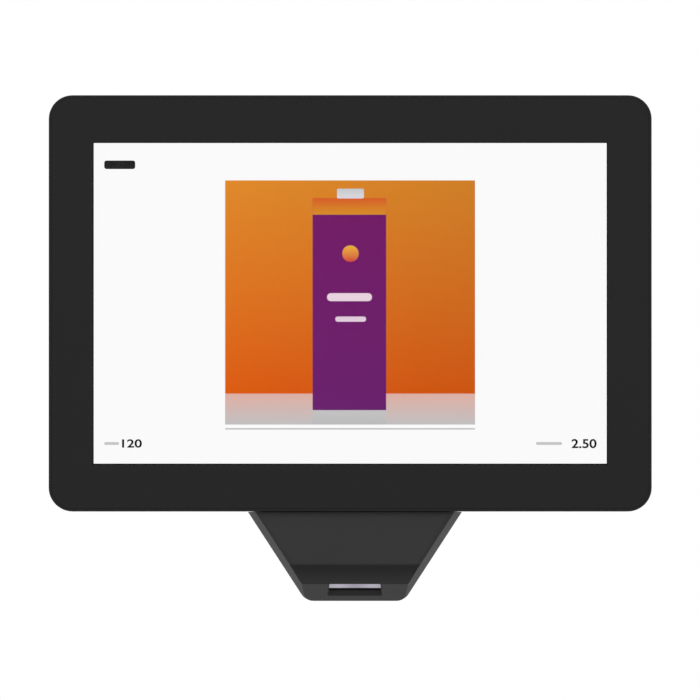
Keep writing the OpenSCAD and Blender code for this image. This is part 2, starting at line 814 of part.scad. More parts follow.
lead_low = speaker_z + speaker_h / 4;
lead_in = speaker_x - speaker_w / 2;
lead_route_shares = [[0, 0], [0.3, 0], [0.55, 0.08], [0.8, 0.3], [0.95, 0.6], [1, 0.85], [1, 1]];
lead_end_x = plug_x;
lead_end_z = plug_z - plug_h / 2 - lead_gap;
module speaker_leads() color("#b23a2e")
    for (s = side_shares)
        lead([for (p = lead_route_shares)
            [s * (lead_in - lead_gap + p[0] * (lead_end_x - lead_in + lead_gap)),
                lead_low + p[1] * (lead_end_z - lead_low)]], lead_at);

// Keys

module key_bracket() color("#b9bcbf")
    difference() {
        union() {
            brick(bracket_t, bracket_h, post_at, body_d - wall - bracket_rear - post_at,
                bracket_x + bracket_t / 2, key_mid_z);
            brick(bracket_t + bracket_foot, bracket_h, post_at, bracket_t,
                bracket_x + (bracket_t + bracket_foot) / 2, key_mid_z);
        }
        at_foot() rod(hole_r, post_at - cut, bracket_t + 2 * cut, 0, 0);
    }

module key_board() color("#1b5e3a")
    brick(key_board_t, bracket_h, key_at - key_board_d / 2, key_board_d,
        switch_x - key_board_t / 2, key_mid_z);

module key_switches() color("#2e2f33")
    for (i = [0 : 2])
        difference() {
            brick(switch_t, switch_w, key_at - switch_w / 2, switch_w,
                switch_x + switch_t / 2, key_top_z - i * key_pitch);
            translate([key_in_x - stem_l - key_travel - key_gap, key_at - body_d, key_top_z - i * key_pitch])
                rotate([0, 90, 0]) cylinder(r = stem_r + key_gap, h = stem_l + key_travel + key_gap);
        }

module key(l, z) {
    key_body(l, 0, key_in_x, key_out_x - key_in_x, z);
    key_body(l, key_flange, key_in_x, key_flange_t, z);
}
module stem(z)
    translate([key_in_x - stem_l, key_at - body_d, z]) rotate([0, 90, 0]) cylinder(r = stem_r, h = stem_l);

module power_key() color("#1f1f20") key(power_l, key_top_z);
module power_stem() color("#c8c4b8") stem(key_top_z);
module volume_up_key() color("#1f1f20") key(key_l, key_top_z - key_pitch);
module volume_up_stem() color("#c8c4b8") stem(key_top_z - key_pitch);
module volume_down_key() color("#1f1f20") key(key_l, key_top_z - 2 * key_pitch);
module volume_down_stem() color("#c8c4b8") stem(key_top_z - 2 * key_pitch);

// Chin

module chin_slice(d, e, r) translate([chin_x, 0, 0]) sheet(d, film) polygon(chin_points(chin_in(d) + e, r));

module chin_outside()
    intersection() {
        hull() {
            chin_slice(chin_front, chin_soft, chin_r);
            chin_slice(chin_front + chin_soft_in, chin_soft_in, chin_r);
            chin_slice(chin_front + chin_soft, 0, chin_r);
            chin_slice(chin_rear - film, 0, chin_r);
        }
        profile(chin_w, chin_x) polygon([[chin_front, chin_top], [chin_front, chin_top - face_h],
            [lip_front, lip_front_z], [chin_rear, lip_z(chin_rear)], [chin_rear, chin_top]]);
    }

chin_in_front = lip_front + chin_wall;
module chin_inside()
    intersection() {
        hull() {
            chin_slice(chin_front + chin_wall, side_wall, chin_r / 2);
            chin_slice(chin_rear - chin_wall - film, side_wall, chin_r / 2);
        }
        profile(chin_w, chin_x) polygon([[chin_front + chin_wall, chin_top - chin_wall],
            [chin_front + chin_wall, chin_top - face_h], [chin_in_front, lip_z(chin_in_front) + lip_wall],
            [chin_rear - chin_wall, lip_z(chin_rear - chin_wall) + lip_wall],
            [chin_rear - chin_wall, chin_top - chin_wall]]);
    }

// What belongs to the rear shell: behind the parting, and above the underside's wall
module behind_parting()
    profile(2 * chin_w, chin_x) polygon([[chin_part, chin_top + cut],
        [chin_part, lip_z(chin_part) + lip_wall], [body_d, lip_z(body_d) + lip_wall],
        [body_d, chin_top + cut]]);

module at_chin_screw() for (s = side_shares)
    for (p = [chin_screw_high, chin_screw_low])
        translate([chin_x + s * p[0], 0, chin_top - p[1]]) children();

// Places what is measured square to the underside, at the middle of the window
module on_lip()
    translate([chin_x, window_mid - body_d, lip_z(window_mid)]) rotate([-lip_angle, 0, 0]) children();
module upright(r, z, h) translate([0, 0, z]) cylinder(r = r, h = h);
module block(w, l, z, t, x = 0) translate([x - w / 2, -l / 2, z]) cube([w, l, t]);
module at_ear() for (s = side_shares) translate([s * ear_x, 0, 0]) children();

module chin_front_cover() color("#353535")
    difference() {
        union() {
            difference() {
                chin_outside();
                chin_inside();
                behind_parting();
            }
            intersection() {
                on_lip() block(pane_w + 2 * window_rim, pane_l + 2 * window_rim, chin_wall / 2,
                    window_sink + window_t - chin_wall / 2);
                profile(chin_w, chin_x) polygon([[chin_front + chin_wall / 2, chin_top - face_h],
                    [lip_front + chin_wall / 2, lip_front_z], [chin_rear, lip_z(chin_rear)],
                    [chin_rear, chin_top]]);
            }
            on_lip() at_ear() upright(ear_boss_r, chin_wall / 2, bracket_at - chin_wall / 2);
            at_chin_screw()
                rod(post_r, chin_front + chin_wall / 2, chin_part - chin_front - chin_wall / 2, 0, 0);
        }
        on_lip() hull() {
            block(window_w + 2 * taper_out, window_l + 2 * taper_out, -cut, film);
            block(window_w - 2 * window_taper, window_l - 2 * window_taper, window_sink + film, film);
        }
        on_lip() block(pane_w + 2 * window_gap, pane_l + 2 * window_gap, window_sink, window_t + cut);
        on_lip() at_ear() upright(pilot_r, bracket_at - thread_l - tip_gap, thread_l + 2 * cut);
        at_chin_screw() pilot(chin_part, chin_thread_l);
    }

module at_decoder_screw() for (s = corner_shares)
    translate([chin_x + s[0] * (decoder_w / 2 - decoder_inset), 0,
        decoder_z + s[1] * (decoder_h / 2 - decoder_inset)]) children();

module chin_rear_shell() color("#333333")
    difference() {
        union() {
            difference() {
                union() {
                    intersection() {
                        chin_outside();
                        behind_parting();
                    }
                    panel(neck_w, neck_top - neck_low, neck_r, rim_d, chin_rear - rim_d,
                        chin_x, (neck_top + neck_low) / 2);
                }
                chin_inside();
                panel(neck_w - 2 * chin_wall, neck_top - neck_low, neck_r - chin_wall, rim_d - root,
                    chin_rear - chin_wall - rim_d + root, chin_x, (neck_top + neck_low) / 2 - chin_wall);
            }
            at_chin_screw() rod(post_r, chin_part, chin_rear - chin_part - chin_wall / 2, 0, 0);
            at_neck_screw() rod(post_r, rim_d, chin_rear - rim_d - chin_wall / 2, 0, 0);
            at_decoder_screw() rod(decoder_boss_r, decoder_at + board_t, decoder_rise + chin_wall / 2, 0, 0);
        }
        at_chin_screw() screw_hole(0, 0, chin_seat, chin_part);
        at_neck_screw() screw_hole(0, 0, chin_seat, rim_d);
        at_decoder_screw() rod(pilot_r, decoder_at, board_t + thread_l + tip_gap, 0, 0);
    }

module chin_screws() color("#2a2a2c")
    at_chin_screw() screw(0, 0, chin_seat, chin_seat - chin_part + chin_thread_l);

module neck_screws() color("#2a2a2c")
    at_neck_screw() screw(0, 0, chin_seat, chin_seat - rim_d + long_thread_l);

// Reader

module window_pane() color("#3b2f3f") on_lip() block(pane_w, pane_l, window_sink, window_t);

module window_gasket() color("#161616")
    on_lip() difference() {
        block(pane_w, pane_l, window_sink + window_t, gasket_t);
        block(pane_w - 2 * gasket_w, pane_l - 2 * gasket_w, window_sink + window_t - cut, gasket_t + 2 * cut);
    }

module engine_bracket() color("#2f3033")
    on_lip() difference() {
        union() {
            block(engine_w, pane_l, bracket_at, bracket_t);
            block(2 * (ear_x + ear_w), ear_l, bracket_at, bracket_t);
        }
        block(sight_w, sight_l, bracket_at - cut, bracket_t + 2 * cut);
        at_ear() upright(hole_r, bracket_at - cut, bracket_t + 2 * cut);
    }

module scan_engine() color("#1d1d20") on_lip() block(engine_w, engine_l, engine_at, engine_h);

module engine_lens() color("#121826")
    on_lip() difference() {
        upright(lens_r, bracket_at, bracket_t);
        upright(lens_eye_r, bracket_at - cut, lens_dip + cut);
    }

module engine_lamps() color("#f2efe2")
    on_lip() for (s = side_shares) block(lamp_w, lamp_w, engine_at - lamp_t, lamp_t, s * lamp_x);

module engine_screws() color("#8e9194")
    on_lip() at_ear() {
        upright(shank_r, bracket_at - thread_l, thread_l + bracket_t + (head_h - cross_h) / 2);
        difference() {
            upright(head_r, engine_at, head_h);
            for (a = [0, 90]) rotate([0, 0, a])
                block(cross_l, cross_w, engine_at + head_h - cross_h, cross_h + cut);
        }
    }

engine_top = engine_at + engine_h;
engine_top_d = window_mid + engine_top * sin(lip_angle);
engine_top_z = lip_z(window_mid) + engine_top * cos(lip_angle);
engine_clip_z = decoder_z - decoder_h / 2 + engine_flex_clip;
module engine_flex() color("#c9862e")
    profile(engine_flex_w, chin_x) {
        strip(engine_top_d - flex_t, engine_top_z + fit, engine_top_d, engine_clip_z);
        strip(engine_top_d - flex_t, engine_clip_z - flex_t, decoder_at, engine_clip_z);
    }

// Decoder board

module decoder_board() color("#1b5e3a")
    difference() {
        brick(decoder_w, decoder_h, decoder_at, board_t, chin_x, decoder_z);
        at_decoder_screw() rod(hole_r, decoder_at - cut, board_t + 2 * cut, 0, 0);
    }

module decoder_chip() color("#1c1c1e")
    brick(decoder_chip, decoder_chip, decoder_at - chip_t, chip_t, chin_x, decoder_z);

module beeper() color("#141414")
    difference() {
        rod(beeper_r, decoder_at - beeper_h, beeper_h, chin_x + beeper_x, decoder_z + beeper_z);
        rod(beeper_eye_r, decoder_at - beeper_h - cut, cut + beeper_h / 2,
            chin_x + beeper_x, decoder_z + beeper_z);
    }

module decoder_screws() color("#8e9194")
    at_decoder_screw() {
        rod(head_r, decoder_at - head_h, head_h, 0, 0);
        rod(shank_r, decoder_at - head_h / 2, head_h / 2 + board_t + thread_l, 0, 0);
    }

module reader_cable() color("#d8d8d4")
    profile(cable_w, cable_x) {
        strip(decoder_at - flex_t, cable_z - cable_start, decoder_at, cable_z);
        strip(cable_at - flex_t, cable_z - flex_t, decoder_at, cable_z);
        strip(cable_at - flex_t, cable_z - flex_t, cable_at, cable_end);
    }

cover_glass();
glass_tape();
front_frame();
lcd_cell();
light_guide();
lcd_surround();
lcd_pan();
foam_pads();
lcd_driver_board();
lcd_flex();
chassis_plate();
frame_screws();
board_posts();
main_board();
processor();
heatsink();
memory_chips();
radio_module();
capacitors();
power_coil();
board_plugs();
network_socket();
power_socket();
usb_sockets();
board_screws();
rear_cover();
mount_inserts();
case_screws();
speakers();
speaker_leads();
key_bracket();
key_board();
key_switches();
power_key();
power_stem();
volume_up_key();
volume_up_stem();
volume_down_key();
volume_down_stem();
chin_front_cover();
chin_rear_shell();
window_pane();
window_gasket();
engine_bracket();
scan_engine();
engine_lens();
engine_lamps();
engine_screws();
engine_flex();
decoder_board();
decoder_chip();
beeper();
decoder_screws();
reader_cable();
chin_screws();
neck_screws();
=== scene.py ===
import bpy
import bmesh
import math
from mathutils import Matrix, Vector


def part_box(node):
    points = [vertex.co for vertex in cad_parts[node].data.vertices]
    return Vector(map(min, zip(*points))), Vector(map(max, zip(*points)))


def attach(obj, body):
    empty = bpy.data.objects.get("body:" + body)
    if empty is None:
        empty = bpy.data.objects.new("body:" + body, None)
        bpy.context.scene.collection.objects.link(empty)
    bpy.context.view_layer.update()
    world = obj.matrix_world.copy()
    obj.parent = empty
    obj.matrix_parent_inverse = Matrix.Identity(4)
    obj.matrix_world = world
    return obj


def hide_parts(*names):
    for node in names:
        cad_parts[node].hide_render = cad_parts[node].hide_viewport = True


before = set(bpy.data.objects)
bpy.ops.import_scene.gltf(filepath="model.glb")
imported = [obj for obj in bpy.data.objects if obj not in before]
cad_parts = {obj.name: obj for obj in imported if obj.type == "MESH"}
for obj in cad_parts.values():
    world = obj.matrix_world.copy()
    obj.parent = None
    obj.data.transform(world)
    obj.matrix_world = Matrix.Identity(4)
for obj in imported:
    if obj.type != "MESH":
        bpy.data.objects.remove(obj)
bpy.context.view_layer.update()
print("frame loaded:", len(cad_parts), "nodes")

# Sizes here are in millimetres. A depth is counted backwards from the face of the glass.
millimetre = 0.001
overrun = 0.8      # how far a cutter starts outside what it cuts
tiny = 1e-4        # points closer than this are in the same place


def nodeBox(node):
    low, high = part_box(node)
    return low / millimetre, high / millimetre


frameLow, frameHigh = nodeBox("front_frame")
glassLow, glassHigh = nodeBox("cover_glass")
chinLow = nodeBox("chin_rear_shell")[0]
frontY = frameLow.y
housing = {
    "width": frameHigh.x - frameLow.x,
    "height": frameHigh.z - frameLow.z,
    "radius": 10.0,
    "depth": -frontY,
    "frameDepth": frameHigh.y - frontY,
    "rimDepth": 18.0,
}


# Mesh tools. A flat outline lies in X and Y and is raised upwards before it is turned into place.
def moved(part, *matrices):
    for matrix in matrices:
        bmesh.ops.transform(part, matrix=matrix, verts=part.verts)
    return part


def at(x=0.0, y=0.0, z=0.0):
    return Matrix.Translation((x, y, z))


def turned(degrees, axis):
    return Matrix.Rotation(math.radians(degrees), 4, axis)


toFront = turned(90, "X")      # up becomes towards the viewer, and Y becomes up
toRear = turned(-90, "X")      # up becomes away from the viewer, and Y becomes down
toLeft = turned(-90, "Y")      # up becomes towards the left, and X becomes up
toRight = turned(90, "Y")      # up becomes towards the right, and X becomes down


def onDepth(depth, x=0.0, z=0.0):
    return at(x, depth + frontY, z)


def joined(parts):
    whole = bmesh.new()
    for part in parts:
        mesh = bpy.data.meshes.new("part")
        part.to_mesh(mesh)
        part.free()
        whole.from_mesh(mesh)
        bpy.data.meshes.remove(mesh)
    return whole


def copies(part, places):
    # the same shape at several places
    made = [part.copy() for place in places]
    part.free()
    return joined([moved(single, place) for single, place in zip(made, places)])


def outline(width, height, radius=0.0, steps=6):
    flat = bmesh.new()
    bmesh.ops.create_grid(flat, x_segments=1, y_segments=1, size=0.5)
    bmesh.ops.scale(flat, vec=(width, height, 1), verts=flat.verts)
    if radius:
        bmesh.ops.bevel(flat, geom=flat.verts[:], offset=radius, offset_type="OFFSET", segments=steps,
                        profile=0.5, affect="VERTICES", material=-1)
    return flat


def housingOutline(inset=0.0):
    width, height = housing["width"] - 2 * inset, housing["height"] - 2 * inset
    return outline(width, height, housing["radius"] - inset, 12)


def spread(count, pitch):
    # places evenly spaced about zero
    return [(index - (count - 1) / 2) * pitch for index in range(count)]


def disc(radius, steps=32):
    flat = bmesh.new()
    bmesh.ops.create_circle(flat, cap_ends=True, segments=steps, radius=radius)
    return flat


def raised(flat, height):
    made = bmesh.ops.extrude_face_region(flat, geom=flat.faces[:])
    verts = [item for item in made["geom"] if isinstance(item, bmesh.types.BMVert)]
    bmesh.ops.translate(flat, vec=(0, 0, height), verts=verts)
    bmesh.ops.recalc_face_normals(flat, faces=flat.faces)
    return flat


def topOf(part):
    return max(vert.co.z for vert in part.verts)


def drawnIn(part, inset, rise, near=tiny):
    # steps the top face inwards and up
    top = topOf(part)
    faces = [face for face in part.faces if all(abs(vert.co.z - top) < near for vert in face.verts)]
    bmesh.ops.inset_region(part, faces=faces, thickness=inset, depth=0, use_even_offset=True)
    bmesh.ops.translate(part, vec=(0, 0, rise), verts=list({vert for face in faces for vert in face.verts}))
    return part


def edgesAt(part, test):
    return [edge for edge in part.edges if all(test(vert.co) for vert in edge.verts)]


def topEdges(part, near=tiny):
    top = topOf(part)
    return edgesAt(part, lambda co: co.z > top - near)


def sharpEdges(part, degrees=40):
    limit = math.radians(degrees)
    return [edge for edge in part.edges if edge.is_manifold and edge.calc_face_angle(0) > limit]


def soften(part, edges, size, steps=3):
    if edges:
        bmesh.ops.bevel(part, geom=edges, offset=size, offset_type="OFFSET", segments=steps, profile=0.5,
                        affect="EDGES", clamp_overlap=True, material=-1)
    return part


def opening(width, height, radius, depth, flare=0.25):
    # a cutter whose mouth is at zero, with a small chamfer round it
    corner = radius + flare if radius else 0
    part = raised(outline(width + 2 * flare, height + 2 * flare, corner, 6), overrun)
    drawnIn(part, flare, flare)
    drawnIn(part, 0.001, depth - flare)
    return moved(part, at(0, 0, -overrun))


def slotOpening(width, length, depth):
    # the ends stop just short of full rounds, or the chamfer would cross itself
    return opening(width, length, min(width, length) / 2 - 0.06, depth)


def block(low, high, soft=0.0, steps=2):
    part = bmesh.new()
    bmesh.ops.create_cube(part, size=1)
    low, high = Vector(low), Vector(high)
    bmesh.ops.scale(part, vec=high - low, verts=part.verts)
    if soft:
        soften(part, part.edges[:], soft, steps)
    return moved(part, at(*((low + high) / 2)))


def post(radius, fromDepth, toDepth, x, z):
    return moved(raised(disc(radius), toDepth - fromDepth), toRear, onDepth(fromDepth, x, z))


def prism(points, low, high, rounds=None):
    # a closed outline of (depth, z) points given width along X; rounds softens the named corners
    part = bmesh.new()
    verts = [part.verts.new((low, depth + frontY, z)) for depth, z in points]
    part.faces.new(verts)
    for index, size in (rounds or {}).items():
        bmesh.ops.bevel(part, geom=[verts[index]], offset=size, offset_type="OFFSET", segments=5, profile=0.5,
                        affect="VERTICES", material=-1)
    made = bmesh.ops.extrude_face_region(part, geom=part.faces[:])
    ends = [item for item in made["geom"] if isinstance(item, bmesh.types.BMVert)]
    bmesh.ops.translate(part, vec=(high - low, 0, 0), verts=ends)
    bmesh.ops.recalc_face_normals(part, faces=part.faces)
    return part


def lathe(points, steps=32, closed=False):
    # (radius, height) points spun about Z
    part = bmesh.new()
    verts = [part.verts.new((radius, 0, height)) for radius, height in points]
    pairs = list(zip(verts, verts[1:])) + ([(verts[-1], verts[0])] if closed else [])
    edges = [part.edges.new(pair) for pair in pairs]
    bmesh.ops.spin(part, geom=verts + edges, cent=(0, 0, 0), axis=(0, 0, 1), dvec=(0, 0, 0), angle=math.tau,
                   steps=steps, use_merge=True, use_duplicate=False)
    bmesh.ops.remove_doubles(part, verts=part.verts, dist=tiny)
    bmesh.ops.recalc_face_normals(part, faces=part.faces)
    return part


def roundOpening(radius, depth, flare=0.25, shank=0.0, length=0.0):
    # a round cutter whose mouth is at zero, with a narrower bore below it if one is asked for
    mouth = radius + flare
    points = [(0, -overrun), (mouth, -overrun), (mouth, 0), (radius, flare), (radius, depth)]
    points += [(shank, depth), (shank, depth + length), (0, depth + length)] if shank else [(0, depth)]
    return lathe(points)


def asObject(part, name):
    mesh = bpy.data.meshes.new(name)
    part.to_mesh(mesh)
    part.free()
    made = bpy.data.objects.new(name, mesh)
    bpy.context.scene.collection.objects.link(made)
    return made


def combined(part, other, operation):
    body, tool = asObject(part, "body"), asObject(other, "tool")
    modifier = body.modifiers.new("combine", "BOOLEAN")
    modifier.operation = operation
    modifier.solver = "MANIFOLD"
    modifier.object = tool
    mesh = bpy.data.meshes.new_from_object(body.evaluated_get(bpy.context.evaluated_depsgraph_get()))
    made = bmesh.new()
    made.from_mesh(mesh)
    bmesh.ops.remove_doubles(made, verts=made.verts, dist=tiny)
    bmesh.ops.dissolve_degenerate(made, edges=made.edges, dist=tiny)
    for used in (body, tool):
        data = used.data
        bpy.data.objects.remove(used)
        bpy.data.meshes.remove(data)
    bpy.data.meshes.remove(mesh)
    return made


def cut(part, *tools):
    for tool in tools:
        part = combined(part, tool, "DIFFERENCE")
    return part


def common(part, other):
    return combined(part, other, "INTERSECT")


def fused(part, *others):
    for other in others:
        part = combined(part, other, "UNION")
    return part


def piece(name, part, materials, nodes=(), body="root", crease=28):
    # the finished piece, in metres, with its place in its mesh
    bmesh.ops.scale(part, vec=(millimetre,) * 3, verts=part.verts)
    made = asObject(part, name)
    for material in materials:
        made.data.materials.append(material)
    for polygon in made.data.polygons:
        polygon.use_smooth = True
    made.data.set_sharp_from_angle(angle=math.radians(crease))
    weighted = made.modifiers.new("weightedNormals", "WEIGHTED_NORMAL")
    weighted.keep_sharp = True
    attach(made, body)
    if nodes:
        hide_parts(*nodes)
    return made


# Shader maths: a Signal is a socket that takes part in Python sums
class Signal:
    def __init__(self, paint, socket):
        self.paint = paint
        self.socket = socket

    def maths(self, operation, first, second=0.0):
        return self.paint.node("ShaderNodeMath", {"operation": operation}, {0: first, 1: second})["Value"]

    def __add__(self, other):
        return self.maths("ADD", self, other)

    def __radd__(self, other):
        return self.maths("ADD", other, self)

    def __sub__(self, other):
        return self.maths("SUBTRACT", self, other)

    def __rsub__(self, other):
        return self.maths("SUBTRACT", other, self)

    def __mul__(self, other):
        return self.maths("MULTIPLY", self, other)

    def __rmul__(self, other):
        return self.maths("MULTIPLY", other, self)

    def __truediv__(self, other):
        return self.maths("DIVIDE", self, other)

    def __gt__(self, other):
        return self.maths("GREATER_THAN", self, other)

    def __lt__(self, other):
        return self.maths("LESS_THAN", self, other)

    def __abs__(self):
        return self.maths("ABSOLUTE", self)

    def fraction(self):
        return self.maths("FRACT", self)

    def clamped(self):
        return self.maths("MINIMUM", self.maths("MAXIMUM", self, 0.0), 1.0)

    def smooth(self, start, end):
        settings = {"interpolation_type": "SMOOTHSTEP"}
        sockets = {0: self, 1: start, 2: end, 3: 0.0, 4: 1.0}
        return self.paint.node("ShaderNodeMapRange", settings, sockets)["Result"]


class Paint:
    def __init__(self, owner):
        self.owner = owner
        owner.use_nodes = True
        self.tree = owner.node_tree
        self.tree.nodes.clear()

    def node(self, kind, settings=None, sockets=None):
        made = self.tree.nodes.new(kind)
        for name, value in (settings or {}).items():
            setattr(made, name, value)
        for name, value in (sockets or {}).items():
            if isinstance(value, Signal):
                self.tree.links.new(value.socket, made.inputs[name])
            else:
                made.inputs[name].default_value = value
        return {output.name: Signal(self, output) for output in made.outputs if output.enabled}

    def place(self):
        return self.node("ShaderNodeTexCoord")["Object"]

    def axes(self):
        parts = self.node("ShaderNodeSeparateXYZ", None, {0: self.place()})
        return parts["X"], parts["Y"], parts["Z"]

    def noise(self, scale, detail=2.0, roughness=0.5, stretch=None):
        place = self.place()
        if stretch:
            place = self.node("ShaderNodeMapping", None, {"Vector": place, "Scale": stretch})["Vector"]
        sockets = {"Vector": place, "Scale": scale, "Detail": detail, "Roughness": roughness}
        return self.node("ShaderNodeTexNoise", None, sockets)["Fac"]

    def blend(self, share, first, second):
        settings = {"data_type": "RGBA", "blend_type": "MIX"}
        return self.node("ShaderNodeMix", settings, {0: share, 6: first, 7: second})["Result"]

    def bump(self, height, distance, strength=1.0):
        sockets = {"Strength": strength, "Distance": distance, "Height": height}
        return self.node("ShaderNodeBump", None, sockets)["Normal"]

    def finish(self, **sockets):
        named = {name.replace("_", " "): value for name, value in sockets.items()}
        shader = self.node("ShaderNodeBsdfPrincipled", None, named)["BSDF"]
        self.node("ShaderNodeOutputMaterial", None, {"Surface": shader})
        return self.owner


def paintFor(name):
    return Paint(bpy.data.materials.new(name))


def colour(red, green, blue):
    # written as in a paint program, 0 to 255, and turned into scene-linear values
    def channel(value):
        share = value / 255
        return share / 12.92 if share <= 0.04045 else ((share + 0.055) / 1.055) ** 2.4
    return (channel(red), channel(green), channel(blue), 1.0)


def shaded(shade, factor):
    return tuple(part * factor for part in shade[:3]) + (1.0,)


# Finishes. The band is the front of the chin below its face, in metres; the chin's plastic is darkened there
# as painted shade.
bandShadePlace = {"y": (-0.0268, -0.0262), "z": (-0.1112, -0.1098), "end": -0.1225, "height": 0.0128}


def mouldedPlastic(name, shade, roughness, specular, grain=1.0, band=0.0):
    # satin black plastic with the fine eroded texture of its mould, faintly rubbed;
    # band is the strength of a painted shade that darkens the front of the chin below its face, less and less
    # downwards
    paint = paintFor(name)
    x, y, z = paint.axes()
    # painted shade: the band below the chin's face, which turns down away from the light, is darkened in the
    # base colour
    below = (1.0 - y.smooth(*bandShadePlace["y"])) * (1.0 - z.smooth(*bandShadePlace["z"]))
    dark = below * (z - bandShadePlace["end"]).clamped() * (band / bandShadePlace["height"])
    tone = paint.blend(paint.noise(35, 3), shaded(shade, 0.94), shaded(shade, 1.06))
    rub = paint.noise(180, 4, 0.6)
    texture = paint.noise(2600, 2) * 0.6 + paint.noise(900, 2) * 0.4
    return paint.finish(
        Base_Color=paint.blend(dark, tone, (0, 0, 0, 1)),
        Roughness=roughness - 0.03 + 0.06 * rub,
        Specular_IOR_Level=specular,
        Normal=paint.bump(texture, 0.00002 * grain, 0.5),
    )


def plainMetal(name, shade, roughness, stretch=(1, 1, 1), scale=700):
    # plated or turned metal with fine drawing marks
    paint = paintFor(name)
    marks = paint.noise(scale, 3, 0.6, stretch)
    cloud = paint.noise(90, 2)
    return paint.finish(
        Base_Color=paint.blend(cloud * 0.5 + marks * 0.5, shaded(shade, 0.78), shade),
        Metallic=1.0,
        Roughness=roughness - 0.08 + 0.16 * marks,
        Normal=paint.bump(marks, 0.00001, 0.5),
    )


def plainResin(name, shade, roughness, specular=0.4):
    # moulded resin, film, foam, sleeve or nylon
    paint = paintFor(name)
    fine = paint.noise(1500, 2)
    return paint.finish(
        Base_Color=paint.blend(paint.noise(60, 3), shaded(shade, 0.85), shade),
        Roughness=roughness - 0.05 + 0.1 * fine,
        Specular_IOR_Level=specular,
        Normal=paint.bump(fine, 0.00001, 0.4),
    )


def circuitBoard(name):
    # green solder mask over a net of tracks, with pale pads
    paint = paintFor(name)
    x, y, z = paint.axes()
    pitch = 0.0016
    across, upward = (x / pitch).fraction(), (z / pitch).fraction()
    patch = paint.noise(55, 2)
    tracks = ((across < 0.35) * (patch > 0.52) + (upward < 0.35) * (patch < 0.46)).clamped()
    pads = (across < 0.3) * (upward < 0.3) * (paint.noise(140, 1) > 0.6)
    mask = paint.blend(tracks, colour(20, 74, 42), colour(34, 104, 60))
    return paint.finish(
        Base_Color=paint.blend(pads, mask, colour(196, 170, 110)),
        Metallic=pads * 0.8,
        Roughness=0.32 + 0.15 * paint.noise(300, 2),
        Normal=paint.bump(tracks, 0.00003, 0.6),
    )


def paintedGlowWindow(name):
    # the reader's coated window, which gives its own light as a painted glow, brighter at two places across
    # it where its two lamps sit behind
    paint = paintFor(name)
    x, y, z = paint.axes()
    middle, half, lampShare, drop = 0.002, 0.0115, 0.64, 0.35
    side = abs(x - middle) / half
    glow = 1.0 - drop * abs(side - lampShare).smooth(0.0, lampShare)
    smear = paint.noise(160, 4, 0.6)
    return paint.finish(
        Base_Color=paint.blend(smear, colour(66, 58, 78), colour(84, 76, 96)),
        Roughness=0.06 + 0.04 * smear,
        Coat_Weight=0.4,
        # painted glow: the pane gives its own light, brighter at two places across its width
        Emission_Color=paint.blend(glow, colour(120, 112, 132), colour(196, 192, 204)),
        Emission_Strength=0.85,
    )


def clearGlass(name):
    paint = paintFor(name)
    return paint.finish(
        Base_Color=(1, 1, 1, 1),
        Roughness=0.01 + 0.02 * paint.noise(60, 4, 0.6),
        IOR=1.06,
        Specular_IOR_Level=0.2,
        Transmission_Weight=1.0,
    )


def eyeGlass(name):
    paint = paintFor(name)
    return paint.finish(
        Base_Color=paint.blend(paint.noise(400, 2), colour(20, 26, 60), colour(44, 40, 86)),
        Roughness=0.04 + 0.03 * paint.noise(300, 2),
        Coat_Weight=0.8,
    )


finishes = {
    "housing": mouldedPlastic("housingPlastic", colour(34, 34, 34), 0.55, 0.16),
    "printed": mouldedPlastic("printedGlass", colour(34, 34, 34), 0.55, 0.16, 0.2),
    # the chin's last number, 0.58, is how strongly the painted shade darkens the band below its face
    "chin": mouldedPlastic("chinPlasticPaintedShade", colour(62, 62, 62), 0.6, 0.09, 1.0, 0.58),
    "key": mouldedPlastic("keyPlastic", colour(27, 27, 28), 0.46, 0.2, 0.6),
    "steel": plainMetal("platedSteel", colour(190, 192, 194), 0.32, (1, 1, 12)),
    "zinc": plainMetal("zincScrew", colour(168, 170, 176), 0.36),
    "blackScrew": plainMetal("blackScrew", colour(66, 66, 68), 0.42),
    "brass": plainMetal("turnedBrass", colour(214, 178, 104), 0.28, (1, 14, 1)),
    "gold": plainMetal("goldContact", colour(232, 196, 110), 0.25),
    "aluminium": plainMetal("finnedAluminium", colour(176, 180, 184), 0.38, (1, 1, 20)),
    "board": circuitBoard("circuitBoard"),
    "chip": plainResin("chipEpoxy", colour(38, 38, 40), 0.55),
    "blackResin": plainResin("blackResin", colour(34, 34, 36), 0.5),
    "blackMask": plainResin("blackMask", colour(12, 12, 13), 0.6, 0.1),
    "foam": plainResin("foamTape", colour(30, 30, 30), 0.85, 0.15),
    "whiteFilm": plainResin("whiteFilm", colour(226, 232, 238), 0.4),
    "sleeve": plainResin("shrinkSleeve", colour(58, 76, 130), 0.3, 0.5),
    "flex": plainResin("flexFilm", colour(190, 126, 48), 0.3, 0.5),
    "ribbon": plainResin("ribbonCable", colour(214, 214, 208), 0.45),
    "nylon": plainResin("naturalNylon", colour(222, 218, 204), 0.45),
    "lead": plainResin("leadSleeve", colour(160, 48, 40), 0.5),
    "lamp": plainResin("clearLamp", colour(236, 230, 206), 0.2, 0.6),
    "greenLamp": plainResin("greenLamp", colour(96, 140, 84), 0.25, 0.5),
    "amberLamp": plainResin("amberLamp", colour(176, 128, 56), 0.25, 0.5),
    "lens": eyeGlass("lensGlass"),
    "window": paintedGlowWindow("windowGlassPaintedGlow"),
    "clear": clearGlass("clearGlass"),
}

